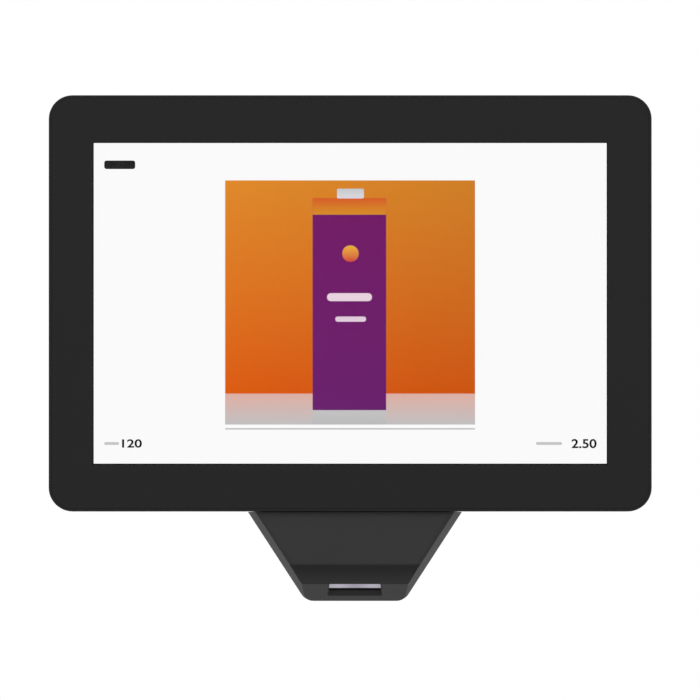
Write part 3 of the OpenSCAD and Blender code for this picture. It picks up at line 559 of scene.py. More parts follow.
# Nodes that keep their own mesh
nodeFinishes = {
    "foam": ["glass_tape", "foam_pads", "window_gasket"],
    "blackMask": ["lcd_cell"],
    "whiteFilm": ["light_guide"],
    "blackResin": ["lcd_surround", "speakers", "key_switches", "engine_bracket", "scan_engine", "beeper"],
    "steel": ["lcd_pan", "chassis_plate", "radio_module", "key_bracket"],
    "board": ["lcd_driver_board", "main_board", "key_board", "decoder_board"],
    "flex": ["lcd_flex", "engine_flex"],
    "zinc": ["frame_screws", "board_screws", "engine_screws", "decoder_screws"],
    "brass": ["board_posts"],
    "chip": ["processor", "memory_chips", "power_coil", "decoder_chip"],
    "aluminium": ["heatsink"],
    "sleeve": ["capacitors"],
    "nylon": ["board_plugs", "power_stem", "volume_up_stem", "volume_down_stem"],
    "lead": ["speaker_leads"],
    "lens": ["engine_lens"],
    "lamp": ["engine_lamps"],
    "ribbon": ["reader_cable"],
}
for finish, nodes in nodeFinishes.items():
    for node in nodes:
        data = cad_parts[node].data
        data.materials.clear()
        data.materials.append(finishes[finish])
print("finishes made:", len(finishes))


# Camera at the photograph's angle: the square picture is viewWidth across at the face of the glass
photo = {"viewWidth": 296.03, "distance": 10000.0, "elevation": -0.8, "centre": (-0.085, -19.78),
         "sensor": 36.0}


def makeCamera():
    data = bpy.data.cameras.new("camera")
    data.sensor_width = photo["sensor"]
    data.lens = photo["sensor"] * photo["distance"] / photo["viewWidth"]
    data.clip_end = 100
    camera = bpy.data.objects.new("camera", data)
    bpy.context.scene.collection.objects.link(camera)
    x, z = photo["centre"]
    rise = math.radians(photo["elevation"])
    away = Vector((0, -math.cos(rise), math.sin(rise))) * photo["distance"]
    camera.location = (Vector((x, frontY, z)) + away) * millimetre
    camera.rotation_euler = (-away).to_track_quat("-Z", "Y").to_euler()
    bpy.context.scene.camera = camera


makeCamera()

# Front frame: a ring with a soft edge, a pocket for the glass, an opening for the display and screw bosses
frontEdge ={"soft": 0.5, "seam": 0.25, "pocketGap": 0.06, "pocketCut": 4.0, "ledgeDepth": 2.1, "ledge": 1.6,
             "wall": 2.0, "openingInset": 12.4, "openingCut": 14.0, "openingAt": 13.0, "bossRadius": 3.0,
             "bossRoot": 0.5, "pilot": 1.25, "pilotLength": 5.5, "plateDepth": 7.9}
bossAt = (120.325, 80.5)
frameScrews = [(-1, 0.45), (-1, -0.45), (1, 0.45), (1, -0.45), (-0.6, 1), (0.6, 1), (-0.8, -1), (0.8, -1)]
caseScrews = [(-1, 1), (0, 1), (1, 1), (-1, -1), (-0.46, -1), (0.46, -1), (1, -1)]


def atBoss(shares):
    return [(x * bossAt[0], z * bossAt[1]) for x, z in shares]


glassSize = glassHigh - glassLow
glassRadius = housing["radius"] - (housing["width"] - glassSize.x) / 2


def frontFrame():
    ring = raised(housingOutline(), housing["frameDepth"])
    soften(ring, topEdges(ring), frontEdge["soft"])
    soften(ring, edgesAt(ring, lambda co: co.z < tiny), frontEdge["seam"])
    moved(ring, toFront, onDepth(housing["frameDepth"]))
    gap = 2 * frontEdge["pocketGap"]
    pocket = outline(glassSize.x + gap, glassSize.z + gap, glassRadius + gap / 2, 12)
    pocket = moved(raised(pocket, frontEdge["pocketCut"]), toFront, onDepth(frontEdge["ledgeDepth"]))
    inset = 2 * frontEdge["openingInset"]
    through = raised(outline(housing["width"] - inset, housing["height"] - inset), frontEdge["openingCut"])
    moved(through, toFront, onDepth(frontEdge["openingAt"]))
    hollowAt = frontEdge["ledgeDepth"] + frontEdge["ledge"]
    hollow = raised(housingOutline(frontEdge["wall"]), housing["frameDepth"] + 1 - hollowAt)
    ring = cut(ring, pocket, through, moved(hollow, toRear, onDepth(hollowAt)))
    start = frontEdge["ledgeDepth"] + frontEdge["bossRoot"]
    bosses, pilots = [], []
    for shares, end in ((frameScrews, frontEdge["plateDepth"]), (caseScrews, housing["frameDepth"])):
        for x, z in atBoss(shares):
            bosses.append(post(frontEdge["bossRadius"], start, end, x, z))
            pilots.append(post(frontEdge["pilot"], end - frontEdge["pilotLength"], end + 0.5, x, z))
    return cut(fused(ring, *bosses), *pilots)


piece("frontFrame", frontFrame(), [finishes["housing"]], ["front_frame"])
print("front frame made")

# Cover glass: printed round the picture, clear in front of it
screen = {"width": 216.96, "height": 135.6, "glassSoft": 0.12, "glassBack": 1.5, "maskEdge": 0.42,
          "pageDepth": 1.78, "layer": 0.05, "thickness": 0.02}


def coverGlass():
    glass = raised(outline(glassSize.x, glassSize.z, glassRadius, 12), screen["glassBack"])
    soften(glass, topEdges(glass), screen["glassSoft"], 2)
    half = [screen["width"] / 2 + screen["maskEdge"], screen["height"] / 2 + screen["maskEdge"]]
    for axis, reach in zip((Vector((1, 0, 0)), Vector((0, 1, 0))), half):
        for side in (-1, 1):
            bmesh.ops.bisect_plane(glass, geom=glass.verts[:] + glass.edges[:] + glass.faces[:], dist=1e-5,
                                   plane_co=axis * reach * side, plane_no=axis)
    for face in glass.faces:
        middle = face.calc_center_median()
        face.material_index = int(abs(middle.x) < half[0] and abs(middle.y) < half[1])
    return moved(glass, toFront, onDepth(screen["glassBack"]))


piece("coverGlass", coverGlass(), [finishes["printed"], finishes["clear"]], ["cover_glass"])
print("cover glass made")


# Picture on the screen: flat pieces in layers behind the glass, which give their own light
def glowing(name, top, bottom, low=0.0, high=1.0, side=0.0, strength=1.0):
    # runs from bottom to top between two heights, and darkens to the right by side
    paint = paintFor(name)
    x, y, z = paint.axes()
    rise = ((z / millimetre - low) / (high - low)).clamped()
    shade = paint.blend(rise, bottom, top)
    across = x / (picture["shadeWidth"] * millimetre)
    dark = (0.5 + across).clamped() * side + paint.noise(40, 1) * 0.01
    return paint.finish(
        Base_Color=(0.005, 0.005, 0.005, 1),
        Roughness=0.6,
        Specular_IOR_Level=0.0,
        Emission_Color=paint.blend(dark, shade, (0, 0, 0, 1)),
        Emission_Strength=strength,
    )


def screenPatch(x, z, width, height, layer, radius=0.0):
    depth = screen["pageDepth"] - layer * screen["layer"]
    flat = raised(outline(width, height, radius), screen["thickness"])
    return moved(flat, toFront, onDepth(depth + screen["thickness"], x, z))


picture = {"left": -52.9, "right": 52.8, "top": 52.0, "table": -38.2, "low": -51.3, "shadeWidth": 106.0}
carton = {"left": -15.9, "right": 15.2, "top": 44.5, "low": -45.2, "bandHeight": 7.0, "capWidth": 11.4,
          "capHeight": 4.2}


def between(low, high):
    return (low + high) / 2


def screenPicture():
    wide, middle = picture["right"] - picture["left"], between(picture["left"], picture["right"])
    cartonWide, cartonMiddle = carton["right"] - carton["left"], between(carton["left"], carton["right"])
    patches = {
        "page": ([screenPatch(0, 0, screen["width"], screen["height"], 0)],
                 glowing("pageWhite", colour(250, 250, 250), colour(250, 250, 250))),
        "pictureWall": ([screenPatch(middle, between(picture["table"], picture["top"]), wide,
                                     picture["top"] - picture["table"], 1)],
                        glowing("orangeWall", colour(223, 136, 37), colour(220, 89, 2), picture["table"],
                                picture["top"], 0.16)),
        "pictureTable": ([screenPatch(middle, between(picture["low"], picture["table"]), wide,
                                      picture["table"] - picture["low"], 1)],
                         glowing("paleTable", colour(222, 174, 162), colour(193, 191, 192), picture["low"],
                                 picture["table"])),
        "pictureLine": ([screenPatch(middle, -53.1, wide, 0.6, 1)],
                        glowing("greyLine", colour(188, 188, 188), colour(188, 188, 188))),
        "cartonMirror": ([screenPatch(cartonMiddle, between(picture["low"], carton["low"]), cartonWide,
                                      carton["low"] - picture["low"], 2)],
                         glowing("mirrorGrey", colour(196, 194, 195), colour(187, 186, 187), picture["low"],
                                 carton["low"])),
        "cartonBody": ([screenPatch(cartonMiddle, between(carton["low"], carton["top"]), cartonWide,
                                    carton["top"] - carton["low"], 2, 0.3)],
                       glowing("plainPurple", colour(117, 18, 103), colour(107, 26, 110), carton["low"],
                               carton["top"], 0.14)),
        "cartonBand": ([screenPatch(cartonMiddle, carton["top"] - carton["bandHeight"] / 2, cartonWide - 0.1,
                                    carton["bandHeight"], 3)],
                       glowing("orangeBand", colour(214, 88, 36), colour(214, 142, 34),
                               carton["top"] - carton["bandHeight"], carton["top"])),
        "cartonDot": ([screenPatch(0.1, 21.0, 7.0, 7.0, 3, 3.4)],
                      glowing("amberDot", colour(236, 176, 60), colour(206, 62, 60), 17.5, 24.5)),
        "cartonBars": ([screenPatch(-0.3, 2.6, 19.0, 3.4, 3, 1.6), screenPatch(0.2, -6.7, 13.0, 2.2, 3, 1.0)],
                       glowing("paleBars", colour(232, 210, 222), colour(226, 204, 220))),
        "cartonCap": ([screenPatch(0.1, carton["top"] + carton["capHeight"] / 2 - 0.2, carton["capWidth"],
                                   carton["capHeight"], 3, 0.6)],
                      glowing("paleCap", colour(200, 204, 204), colour(222, 219, 226), carton["top"],
                              carton["top"] + carton["capHeight"], 0.08)),
        "titleBar": ([screenPatch(-97.5, 58.6, 13.1, 3.6, 1, 1.0)],
                     glowing("darkBar", colour(30, 30, 30), colour(30, 30, 30))),
        "captionBars": ([screenPatch(-100.9, -59.3, 6.3, 1.2, 1, 0.55),
                         screenPatch(84.1, -59.3, 11.0, 1.2, 1, 0.55)],
                        glowing("greyBars", colour(196, 196, 196), colour(196, 196, 196))),
    }
    for name, (parts, material) in patches.items():
        piece(name, joined(parts), [material])
    digits = {"stockDigits": ("120", -96.5, -61.1, 3.6, 8.4), "priceDigits": ("2.50", 93.6, -61.3, 3.9, 10.6)}
    ink = glowing("blackInk", colour(10, 10, 10), colour(10, 10, 10))
    for name, (body, x, z, height, width) in digits.items():
        piece(name, digitMesh(body, x, z, height, width), [ink])


def digitMesh(body, x, z, height, width):
    curve = bpy.data.curves.new("digits", "FONT")
    curve.body = body
    curve.offset = 0.022
    curve.extrude = 0.002
    holder = bpy.data.objects.new("digits", curve)
    bpy.context.scene.collection.objects.link(holder)
    mesh = bpy.data.meshes.new_from_object(holder.evaluated_get(bpy.context.evaluated_depsgraph_get()))
    part = bmesh.new()
    part.from_mesh(mesh)
    bpy.data.objects.remove(holder)
    bpy.data.curves.remove(curve)
    bpy.data.meshes.remove(mesh)
    bmesh.ops.remove_doubles(part, verts=part.verts, dist=1e-5)
    low = Vector([min(vert.co[axis] for vert in part.verts) for axis in range(3)])
    high = Vector([max(vert.co[axis] for vert in part.verts) for axis in range(3)])
    moved(part, at(*-low))
    size, thickness = high - low, screen["thickness"]
    bmesh.ops.scale(part, vec=(width / size.x, height / size.y, thickness / size.z), verts=part.verts)
    return moved(part, toFront, onDepth(screen["pageDepth"] - screen["layer"] + thickness, x, z))


screenPicture()
print("picture made")

# Neck, with the screws at its back and the chin's
neck ={"x": 2.0, "width": 64.0, "radius": 4.0, "top": -53.0, "low": -94.6, "rear": 30.96, "wall": 2.2,
        "seat": 29.0, "startShare": 0.3, "endShare": 1.04, "cornerShare": 0.6,
        "chinScrews": [(29.0, -96.6), (18.5, -107.1)], "neckScrews": [(26.0, -81.1), (26.0, -59.0)]}
chinScrewPlaces = [(neck["x"] + side * x, z) for side in (-1, 1) for x, z in neck["chinScrews"]]
neckScrewPlaces = [(neck["x"] + side * x, z) for side in (-1, 1) for x, z in neck["neckScrews"]]

# Rear cover: a rim against the front frame, and a deeper bulge with vents, ports and threaded inserts
rear = {
    "rimIn": 3.0, "rimMidIn": 2.1, "rimMid": 16.6, "rimStraight": 14.0, "insetShare": 0.5, "seam": 0.25,
    "rimSoft": 0.5,
    "bulgeWidth": 190.0, "bulgeTop": 62.0, "bulgeLow": -50.0, "bulgeRadius": 12.0, "bulgeIn": 3.0,
    "bulgeLowIn": 0.8, "bulgeSoft": 1.2, "wall": 2.0,
    "ventX": 68.5, "ventRows": 11, "ventPitch": 6.0, "vent": (24.0, 2.2),
    "topVents": 18, "topPitch": 7.0, "topVent": (2.4, 7.0, 24.0),
    "speaker": (85.0, -66.0), "grille": (1.8, 12.0), "grilleSlots": 7, "grillePitch": 4.0,
    "seat": 16.0, "counterbore": 2.8, "shank": 1.4,
    "insertAt": 37.5, "insertRadius": 3.2, "insertGap": 0.02, "insertLength": 7.0, "insertFloor": 1.5,
    "insertPost": 5.0, "postRadius": 3.6,
    "lipHeight": 2.0, "lipWall": 1.0, "lipGap": 0.15, "lipRoot": 0.5, "ribReach": 0.4,
    "portDepth": 15.5, "portGap": 0.4,
    "ports": [(-70.0, 16.0, 13.4), (-49.0, 9.0, 11.0), (52.0, 13.2, 5.8), (69.0, 13.2, 5.8)],
    "keyAt": 25.0, "keys": [(28.0, 8.0), (10.0, 12.0), (-8.0, 12.0)], "keyHeight": 4.6, "keyRadius": 1.8,
    "keyGap": 0.35, "flange": 0.8, "wallX": 93.5,
}
insertCentres = [(x * rear["insertAt"], z * rear["insertAt"]) for x in (-1, 1) for z in (-1, 1)]
caseScrewPlaces = atBoss(caseScrews)


def rimForm(inset, fromDepth):
    part = raised(housingOutline(inset), rear["rimStraight"] - fromDepth)
    spare = inset * rear["insetShare"]
    drawnIn(part, rear["rimMidIn"], rear["rimMid"] - rear["rimStraight"] - spare)
    drawnIn(part, rear["rimIn"] - rear["rimMidIn"], housing["rimDepth"] - rear["rimMid"] - spare)
    if not inset:
        soften(part, topEdges(part), rear["rimSoft"])
        soften(part, edgesAt(part, lambda co: co.z < tiny), rear["seam"])
    return moved(part, toRear, onDepth(fromDepth))


def bulgeForm(inset, fromDepth):
    height = rear["bulgeTop"] - rear["bulgeLow"]
    flat = outline(rear["bulgeWidth"] - 2 * inset, height - 2 * inset, rear["bulgeRadius"] - inset, 12)
    part = drawnIn(raised(flat, 0.01), rear["bulgeIn"], housing["depth"] - fromDepth - inset - 0.01)
    top = topOf(part)
    ends = [vert for vert in part.verts if vert.co.z > top - tiny]
    low, high = min(vert.co.y for vert in ends), max(vert.co.y for vert in ends)
    for vert in ends:
        vert.co.y += (rear["bulgeIn"] - rear["bulgeLowIn"]) * (vert.co.y - low) / (high - low)
    if not inset:
        soften(part, topEdges(part), rear["bulgeSoft"], 4)
    return moved(part, toRear, onDepth(fromDepth, 0, between(rear["bulgeTop"], rear["bulgeLow"])))


def screwBore(face, seat, end, x, z):
    # a counterbore from the rear face down to the screw's seat, with the shank's bore below it
    bore = roundOpening(rear["counterbore"], face - seat, shank=rear["shank"], length=seat - end)
    return moved(bore, toFront, onDepth(face, x, z))


def coverLip():
    # a lip that locates the cover inside the front frame, tied to the wall by four short ribs
    seam, wall, reach = housing["frameDepth"], rear["wall"], rear["ribReach"]
    start, end = seam - rear["lipHeight"], seam + rear["lipRoot"]
    wide, tall = housing["width"] - 2 * wall, housing["height"] - 2 * wall
    loops = []
    for inset, low, high in ((rear["lipGap"], start, end),
                             (rear["lipGap"] + rear["lipWall"], start - 1, end + 1)):
        loops.append(moved(raised(housingOutline(wall + inset), high - low), toRear, onDepth(low)))
    ribs, low, high = [], seam + frontY + 0.02, end + frontY
    for side in (-1, 1):
        ends = sorted((side * (tall / 2 - wall), side * (tall / 2 + reach)))
        ribs.append(block((-wide / 4, low, ends[0]), (wide / 4, high, ends[1])))
        ends = sorted((side * (wide / 2 - wall), side * (wide / 2 + reach)))
        ribs.append(block((ends[0], low, -tall / 4), (ends[1], high, tall / 4)))
    return [cut(*loops)] + ribs


def rearCover():
    wall, radius = rear["wall"], rear["postRadius"]
    frameDepth, rimDepth, depth = housing["frameDepth"], housing["rimDepth"], housing["depth"]
    shell = fused(rimForm(0, frameDepth), bulgeForm(0, rimDepth - 1))
    hollow = fused(rimForm(wall, frameDepth - 1), bulgeForm(wall, rimDepth - wall - 1))
    posts = [post(radius, frameDepth, rimDepth - 1, x, z) for x, z in caseScrewPlaces]
    posts += [post(radius, frameDepth, rimDepth - 0.5, x, z) for x, z in neckScrewPlaces]
    posts += [post(rear["insertPost"], depth - rear["insertLength"] - rear["insertFloor"], depth - 1, x, z)
              for x, z in insertCentres]
    shell = fused(cut(shell, hollow), *posts, *coverLip())
    pilots = [post(frontEdge["pilot"], frameDepth + 0.5, rimDepth + 0.5, x, z) for x, z in neckScrewPlaces]
    bores = [screwBore(rimDepth, rear["seat"], frameDepth - 1, x, z) for x, z in caseScrewPlaces]
    seatRadius = rear["insertRadius"] + rear["insertGap"]
    seats = [moved(roundOpening(seatRadius, rear["insertLength"], 0.12), toFront, onDepth(depth, x, z))
             for x, z in insertCentres]
    shell = cut(shell, *pilots, *bores, *seats)
    speakerX, speakerZ = rear["speaker"]
    for side in (-1, 1):
        vents = [moved(slotOpening(*rear["vent"], 4), toFront, onDepth(depth, side * rear["ventX"], z))
                 for z in spread(rear["ventRows"], rear["ventPitch"])]
        grille = [moved(slotOpening(*rear["grille"], 3), toFront,
                        onDepth(rimDepth, side * speakerX + x, speakerZ))
                  for x in spread(rear["grilleSlots"], rear["grillePitch"])]
        shell = cut(shell, *vents, *grille)
    width, length, ventDepth = rear["topVent"]
    shell = cut(shell, *[moved(slotOpening(width, length, 5), turned(180, "X"),
                               onDepth(ventDepth, x, rear["bulgeTop"] - 1.25))
                         for x in spread(rear["topVents"], rear["topPitch"])])
    gap = rear["portGap"]
    for x, width, thickness in rear["ports"]:
        mouth = opening(width + 2 * gap, thickness + 2 * gap, 0.4, 4)
        moved(mouth, onDepth(rear["portDepth"] + thickness / 2, x, rear["bulgeLow"] + 0.1))
        recess = block((x - width / 2 - gap, rear["portDepth"] - gap + frontY, rear["bulgeLow"] - 4),
                       (x + width / 2 + gap, rimDepth + frontY + 0.5, rear["bulgeLow"] + 1))
        shell = cut(shell, mouth, recess)
    gap = rear["keyGap"]
    for z, length in rear["keys"]:
        hole = opening(length + 2 * gap, rear["keyHeight"] + 2 * gap, rear["keyRadius"] + gap, 5, 0.15)
        shell = cut(shell, moved(hole, toLeft, onDepth(rear["keyAt"], rear["wallX"] + 0.2, z)))
    return shell


piece("rearCover", rearCover(), [finishes["housing"]], ["rear_cover"])
print("rear cover made")

# Chin: a front cover with the face, band and underside, and a rear shell with the neck that carries it
chin = {
    "x": neck["x"], "top": -88.06, "front": 2.5, "rear": 31.0, "bandDepth": 5.1, "bandLow": -118.7,
    "band": [(2.5, -109.7), (2.66, -110.6), (3.1, -111.6), (3.7, -112.8), (4.3, -114.2), (4.72, -115.8),
             (4.98, -117.3)],
    "lipAngle": 15.5, "sideAngle": 33.0, "halfAtTop": 45.46, "sideIn": 2.8, "cornerLength": 3.4, "soft": 2.0,
    "rearSoft": 0.8, "edgeSoft": 0.4, "lipSoft": 0.35, "part": 16.0, "partWall": 2.28, "wall": 2.2,
    "innerStep": 0.7, "pilotLength": 8.5, "windowDepth": 14.13, "reach": 60.0, "pastRear": 36.0,
}


def lipAt(depth):
    return chin["bandLow"] - (depth - chin["bandDepth"]) * math.tan(math.radians(chin["lipAngle"]))


def chinSide():
    # seen from the side: face, band and underside
    points = [(chin["front"], chin["top"])] + chin["band"] + [(chin["bandDepth"], chin["bandLow"])]
    points += [(chin["rear"], lipAt(chin["rear"])), (chin["rear"], chin["top"])]
    last = len(points) - 1
    rounds = {last - 2: chin["lipSoft"], last - 1: chin["edgeSoft"], last: chin["rearSoft"],
              0: chin["edgeSoft"]}
    return prism(points, -chin["reach"], chin["reach"], rounds)


def chinInnerSide():
    inset = chin["wall"]
    front, back, lip = chin["front"] + inset, chin["rear"] - inset, chin["bandDepth"] + inset
    return prism([(front, chin["top"] - inset), (front + chin["innerStep"], chin["band"][0][1]),
                  (lip, lipAt(lip) + inset), (back, lipAt(back) + inset), (back, chin["top"] - inset)],
                 -chin["reach"], chin["reach"])


def chinTaper(inset):
    # seen from the front: the sides run in downwards, and are drawn in towards the front
    slant = math.radians(chin["sideAngle"])
    low = lipAt(chin["rear"])
    side = inset / math.cos(slant)
    wide = chin["halfAtTop"] - side
    narrow = wide - (chin["top"] - low) * math.tan(slant)
    front, back = chin["front"] + inset + frontY, chin["rear"] - inset + frontY
    part = bmesh.new()
    part.faces.new([part.verts.new((x, back, z)) for x, z in
                    ((-wide, chin["top"]), (-narrow, low), (narrow, low), (wide, chin["top"]))])
    made = bmesh.ops.extrude_face_region(part, geom=part.faces[:])
    for vert in [item for item in made["geom"] if isinstance(item, bmesh.types.BMVert)]:
        vert.co.y = front
        vert.co.x -= math.copysign(chin["sideIn"] / math.cos(slant), vert.co.x)
    bmesh.ops.recalc_face_normals(part, faces=part.faces)
    if not inset:
        soften(part, [edge for edge in part.edges if abs(edge.verts[0].co.y - edge.verts[1].co.y) > 1
                      and max(vert.co.z for vert in edge.verts) < low + 1], chin["cornerLength"], 8)
        soften(part, [edge for edge in edgesAt(part, lambda co: co.y < front + tiny)
                      if abs(edge.verts[0].co.z - edge.verts[1].co.z) > 1e-3 or edge.verts[0].co.z < low + 1],
               chin["soft"], 5)
        soften(part, edgesAt(part, lambda co: co.y > back - tiny), chin["rearSoft"])
    return moved(part, at(chin["x"]))


def behindParting():
    start, end, wall, reach = chin["part"], chin["pastRear"], chin["partWall"], chin["reach"] + 10
    return prism([(start, chin["top"] + 1), (start, lipAt(start) + wall), (end, lipAt(end) + wall),
                  (end, chin["top"] + 1)], -reach, reach)


def onLip(rise=0.0, x=0.0, y=0.0):
    # measured square to the underside, at the middle of the window
    middle = onDepth(chin["windowDepth"], chin["x"], lipAt(chin["windowDepth"]))
    return middle @ turned(-chin["lipAngle"], "X") @ at(x, y, rise)


window = {"width": 22.9, "length": 17.7, "sink": 3.5, "taper": 1.0, "radius": 1.4, "flare": 0.3, "mouth": 0.6,
          "pane": (24.0, 18.8, 1.5), "paneGap": 0.1, "rim": 1.5, "rimAt": 1.1, "rimHeight": 3.9, "skin": 0.9,
          "cavity": 9.0}


def windowOpening():
    flare = window["flare"]
    width, length = window["width"] + 2 * flare, window["length"] + 2 * flare
    part = raised(outline(width, length, window["radius"] + flare), window["mouth"])
    drawnIn(part, flare, flare)
    drawnIn(part, window["taper"], window["sink"])
    return moved(part, onLip(-window["mouth"]))


def chinFrontCover():
    width, length = window["pane"][:2]
    shell = cut(common(chinTaper(0), chinSide()), common(chinTaper(chin["wall"]), chinInnerSide()))
    rim = raised(outline(width + 2 * window["rim"], length + 2 * window["rim"]), window["rimHeight"])
    gap = window["paneGap"]
    cavity = raised(outline(width + 2 * gap, length + 2 * gap), window["cavity"])
    skin = moved(chinSide(), at(0, window["skin"], window["skin"]))
    shell = fused(shell, common(moved(rim, onLip(window["rimAt"])), skin))
    shell = cut(shell, behindParting(), windowOpening(), moved(cavity, onLip(window["sink"])))
    start, end = chin["front"] + chin["wall"] / 2, chin["part"]
    bosses = [post(rear["postRadius"], start, end, x, z) for x, z in chinScrewPlaces]
    pilots = [post(frontEdge["pilot"], end - chin["pilotLength"], end + 1, x, z) for x, z in chinScrewPlaces]
    return cut(fused(shell, *bosses), *pilots)


piece("chinFrontCover", chinFrontCover(), [finishes["chin"]], ["chin_front_cover"])
print("chin front cover made")


def neckForm(inset):
    top = neck["top"] - inset
    start = housing["rimDepth"] - inset * neck["startShare"]
    length = neck["rear"] - start - inset * neck["endShare"]
    corner = neck["radius"] - inset * neck["cornerShare"]
    part = raised(outline(neck["width"] - 2 * inset, top - neck["low"], corner), length)
    if not inset:
        soften(part, topEdges(part), chin["rearSoft"])
    return moved(part, toRear, onDepth(start, chin["x"], between(top, neck["low"])))


def chinRearShell():
    solid = fused(common(common(chinTaper(0), chinSide()), behindParting()), neckForm(0))
    solid = cut(solid, fused(common(chinTaper(chin["wall"]), chinInnerSide()), neckForm(neck["wall"])))
    radius, end = rear["postRadius"], chin["rear"] - 1
    posts = [post(radius, chin["part"] + 0.01, end, x, z) for x, z in chinScrewPlaces]
    posts += [post(radius, housing["rimDepth"], end, x, z) for x, z in neckScrewPlaces]
    return cut(fused(solid, *posts), *[screwBore(chin["rear"], neck["seat"], chin["part"] - 1, x, z)
                                       for x, z in chinScrewPlaces + neckScrewPlaces])


piece("chinRearShell", chinRearShell(), [finishes["chin"]], ["chin_rear_shell"])
print("chin rear shell made")


def windowPane():
    width, length, thickness = window["pane"]
    part = raised(outline(width, length, 0.6, 3), thickness)
    return moved(soften(part, sharpEdges(part, 60), 0.15, 2), onLip(window["sink"]))


piece("windowPane", windowPane(), [finishes["window"]], ["window_pane"])

# Keys on the viewer's right side, each with the flange that keeps it in the cover
keyRows = [("powerKey", "power_key", "power_button"), ("volumeUpKey", "volume_up_key", "volume_up_button"),
           ("volumeDownKey", "volume_down_key", "volume_down_button")]
for (name, node, body), (z, length) in zip(keyRows, rear["keys"]):
    keyLow, keyHigh = nodeBox(node)
    spare = (keyHigh.y - keyLow.y - rear["keyHeight"]) / 2
    cap = raised(outline(length, rear["keyHeight"], rear["keyRadius"], 8), keyHigh.x - keyLow.x)
    soften(cap, topEdges(cap), 0.5, 4)
    wide, tall = length + 2 * spare, rear["keyHeight"] + 2 * spare
    flange = raised(outline(wide, tall, rear["keyRadius"] + spare, 8), rear["flange"])
    whole = moved(fused(cap, flange), toRight, onDepth(rear["keyAt"], keyLow.x, z))
    piece(name, whole, [finishes["key"]], [node], body)
print("keys made")

# Screws with a cross recess, and ridges for a thread
screwShape ={"head": 2.4, "headHeight": 1.6, "shank": 1.2, "core": 1.0, "pitch": 0.6, "tip": 0.8,
              "plain": 0.2, "cross": (2.9, 0.62, 1.0), "crossShares": (0.62, 0.8),
              "headProfile": [(-0.1, 0), (0, 0.12), (0, 0.8), (-0.16, 1.15), (-0.6, 1.42), (-1.3, 1.56)]}


def screwForm(seat, tip):
    length, pitch, start = seat - tip, screwShape["pitch"], screwShape["tip"]
    shank, core, head = screwShape["shank"], screwShape["core"], screwShape["head"]
    points = [(0, 0), (0.55, 0.05), (core, start)]
    for turn in range(int((length - 1.4) / pitch)):
        points += [(shank, start + (turn + 0.5) * pitch), (core, start + (turn + 1) * pitch)]
    points += [(shank, length - screwShape["plain"]), (shank, length)]
    points += [(head + step, length + rise) for step, rise in screwShape["headProfile"]]
    part = lathe(points + [(0, length + screwShape["headHeight"])], 24)
    width, thickness, sink = screwShape["cross"]
    narrow, thin = screwShape["crossShares"]
    arms = []
    for angle in (0, 90):
        arm = raised(outline(width * narrow, thickness * thin, 0.1, 2), 0.01)
        top = [vert for vert in arm.verts if vert.co.z > 0.005]
        bmesh.ops.scale(arm, vec=(1 / narrow, 1 / thin, 1), verts=top)
        bmesh.ops.translate(arm, vec=(0, 0, sink + 0.3), verts=top)
        arms.append(moved(arm, turned(angle, "Z"), at(0, 0, length + screwShape["headHeight"] - sink)))
    return cut(part, *arms)


def screwPiece(name, node, seat, places):
    tip = nodeBox(node)[0].y - frontY
    made = copies(screwForm(seat, tip), [onDepth(tip, x, z) @ toRear for x, z in places])
    piece(name, made, [finishes["blackScrew"]], [node])


screwPiece("caseScrews", "case_screws", rear["seat"], caseScrewPlaces)
screwPiece("chinScrews", "chin_screws", neck["seat"], chinScrewPlaces)
screwPiece("neckScrews", "neck_screws", neck["seat"], neckScrewPlaces)

# Brass inserts with knurled bands and a ridged bore
insert ={"outer": 3.18, "groove": 2.85, "bore": 2.0, "root": 2.22, "pitch": 0.7, "teeth": 30,
          "toothDepth": 0.12}


def insertForm():
    length, outer, groove = rear["insertLength"], insert["outer"], insert["groove"]
    points = [(groove, 0), (outer, 0.35), (outer, 2.7), (groove, 3.0), (groove, 4.0), (outer, 4.3),
              (outer, 6.55), (groove + 0.2, 6.7), (groove + 0.2, length), (2.45, length)]
    height, bore, root, pitch = length - 0.4, insert["bore"], insert["root"], insert["pitch"]
    while height > 0.6:
        points += [(bore, height - pitch / 4), (root, height - pitch * 0.75)]
        height -= pitch
    part = lathe(points + [(root, 0)], 2 * insert["teeth"], True)
    for vert in part.verts:
        radius = math.hypot(vert.co.x, vert.co.y)
        place = round(math.atan2(vert.co.y, vert.co.x) / (math.pi / insert["teeth"]))
        if radius > outer - 0.01 and place % 2:
            vert.co.x *= 1 - insert["toothDepth"] / outer
            vert.co.y *= 1 - insert["toothDepth"] / outer
    return part


insertPlaces = [onDepth(housing["depth"] - rear["insertLength"], x, z) @ toRear for x, z in insertCentres]
piece("mountInserts", copies(insertForm(), insertPlaces), [finishes["brass"]], ["mount_inserts"])
print("screws and inserts made")

# Sockets, whose mouths face down
network = {"mouth": (11.9, 7.4, 14.0), "mouthIn": 2.0, "latch": (6.0, 2.4), "pins": 8, "pinPitch": 1.02,
           "pinWidth": 0.45, "pin": [(0, 1.5), (0.25, 1.5), (2.1, 9.5), (1.9, 13.9), (1.6, 13.9), (1.8, 9.5)]}


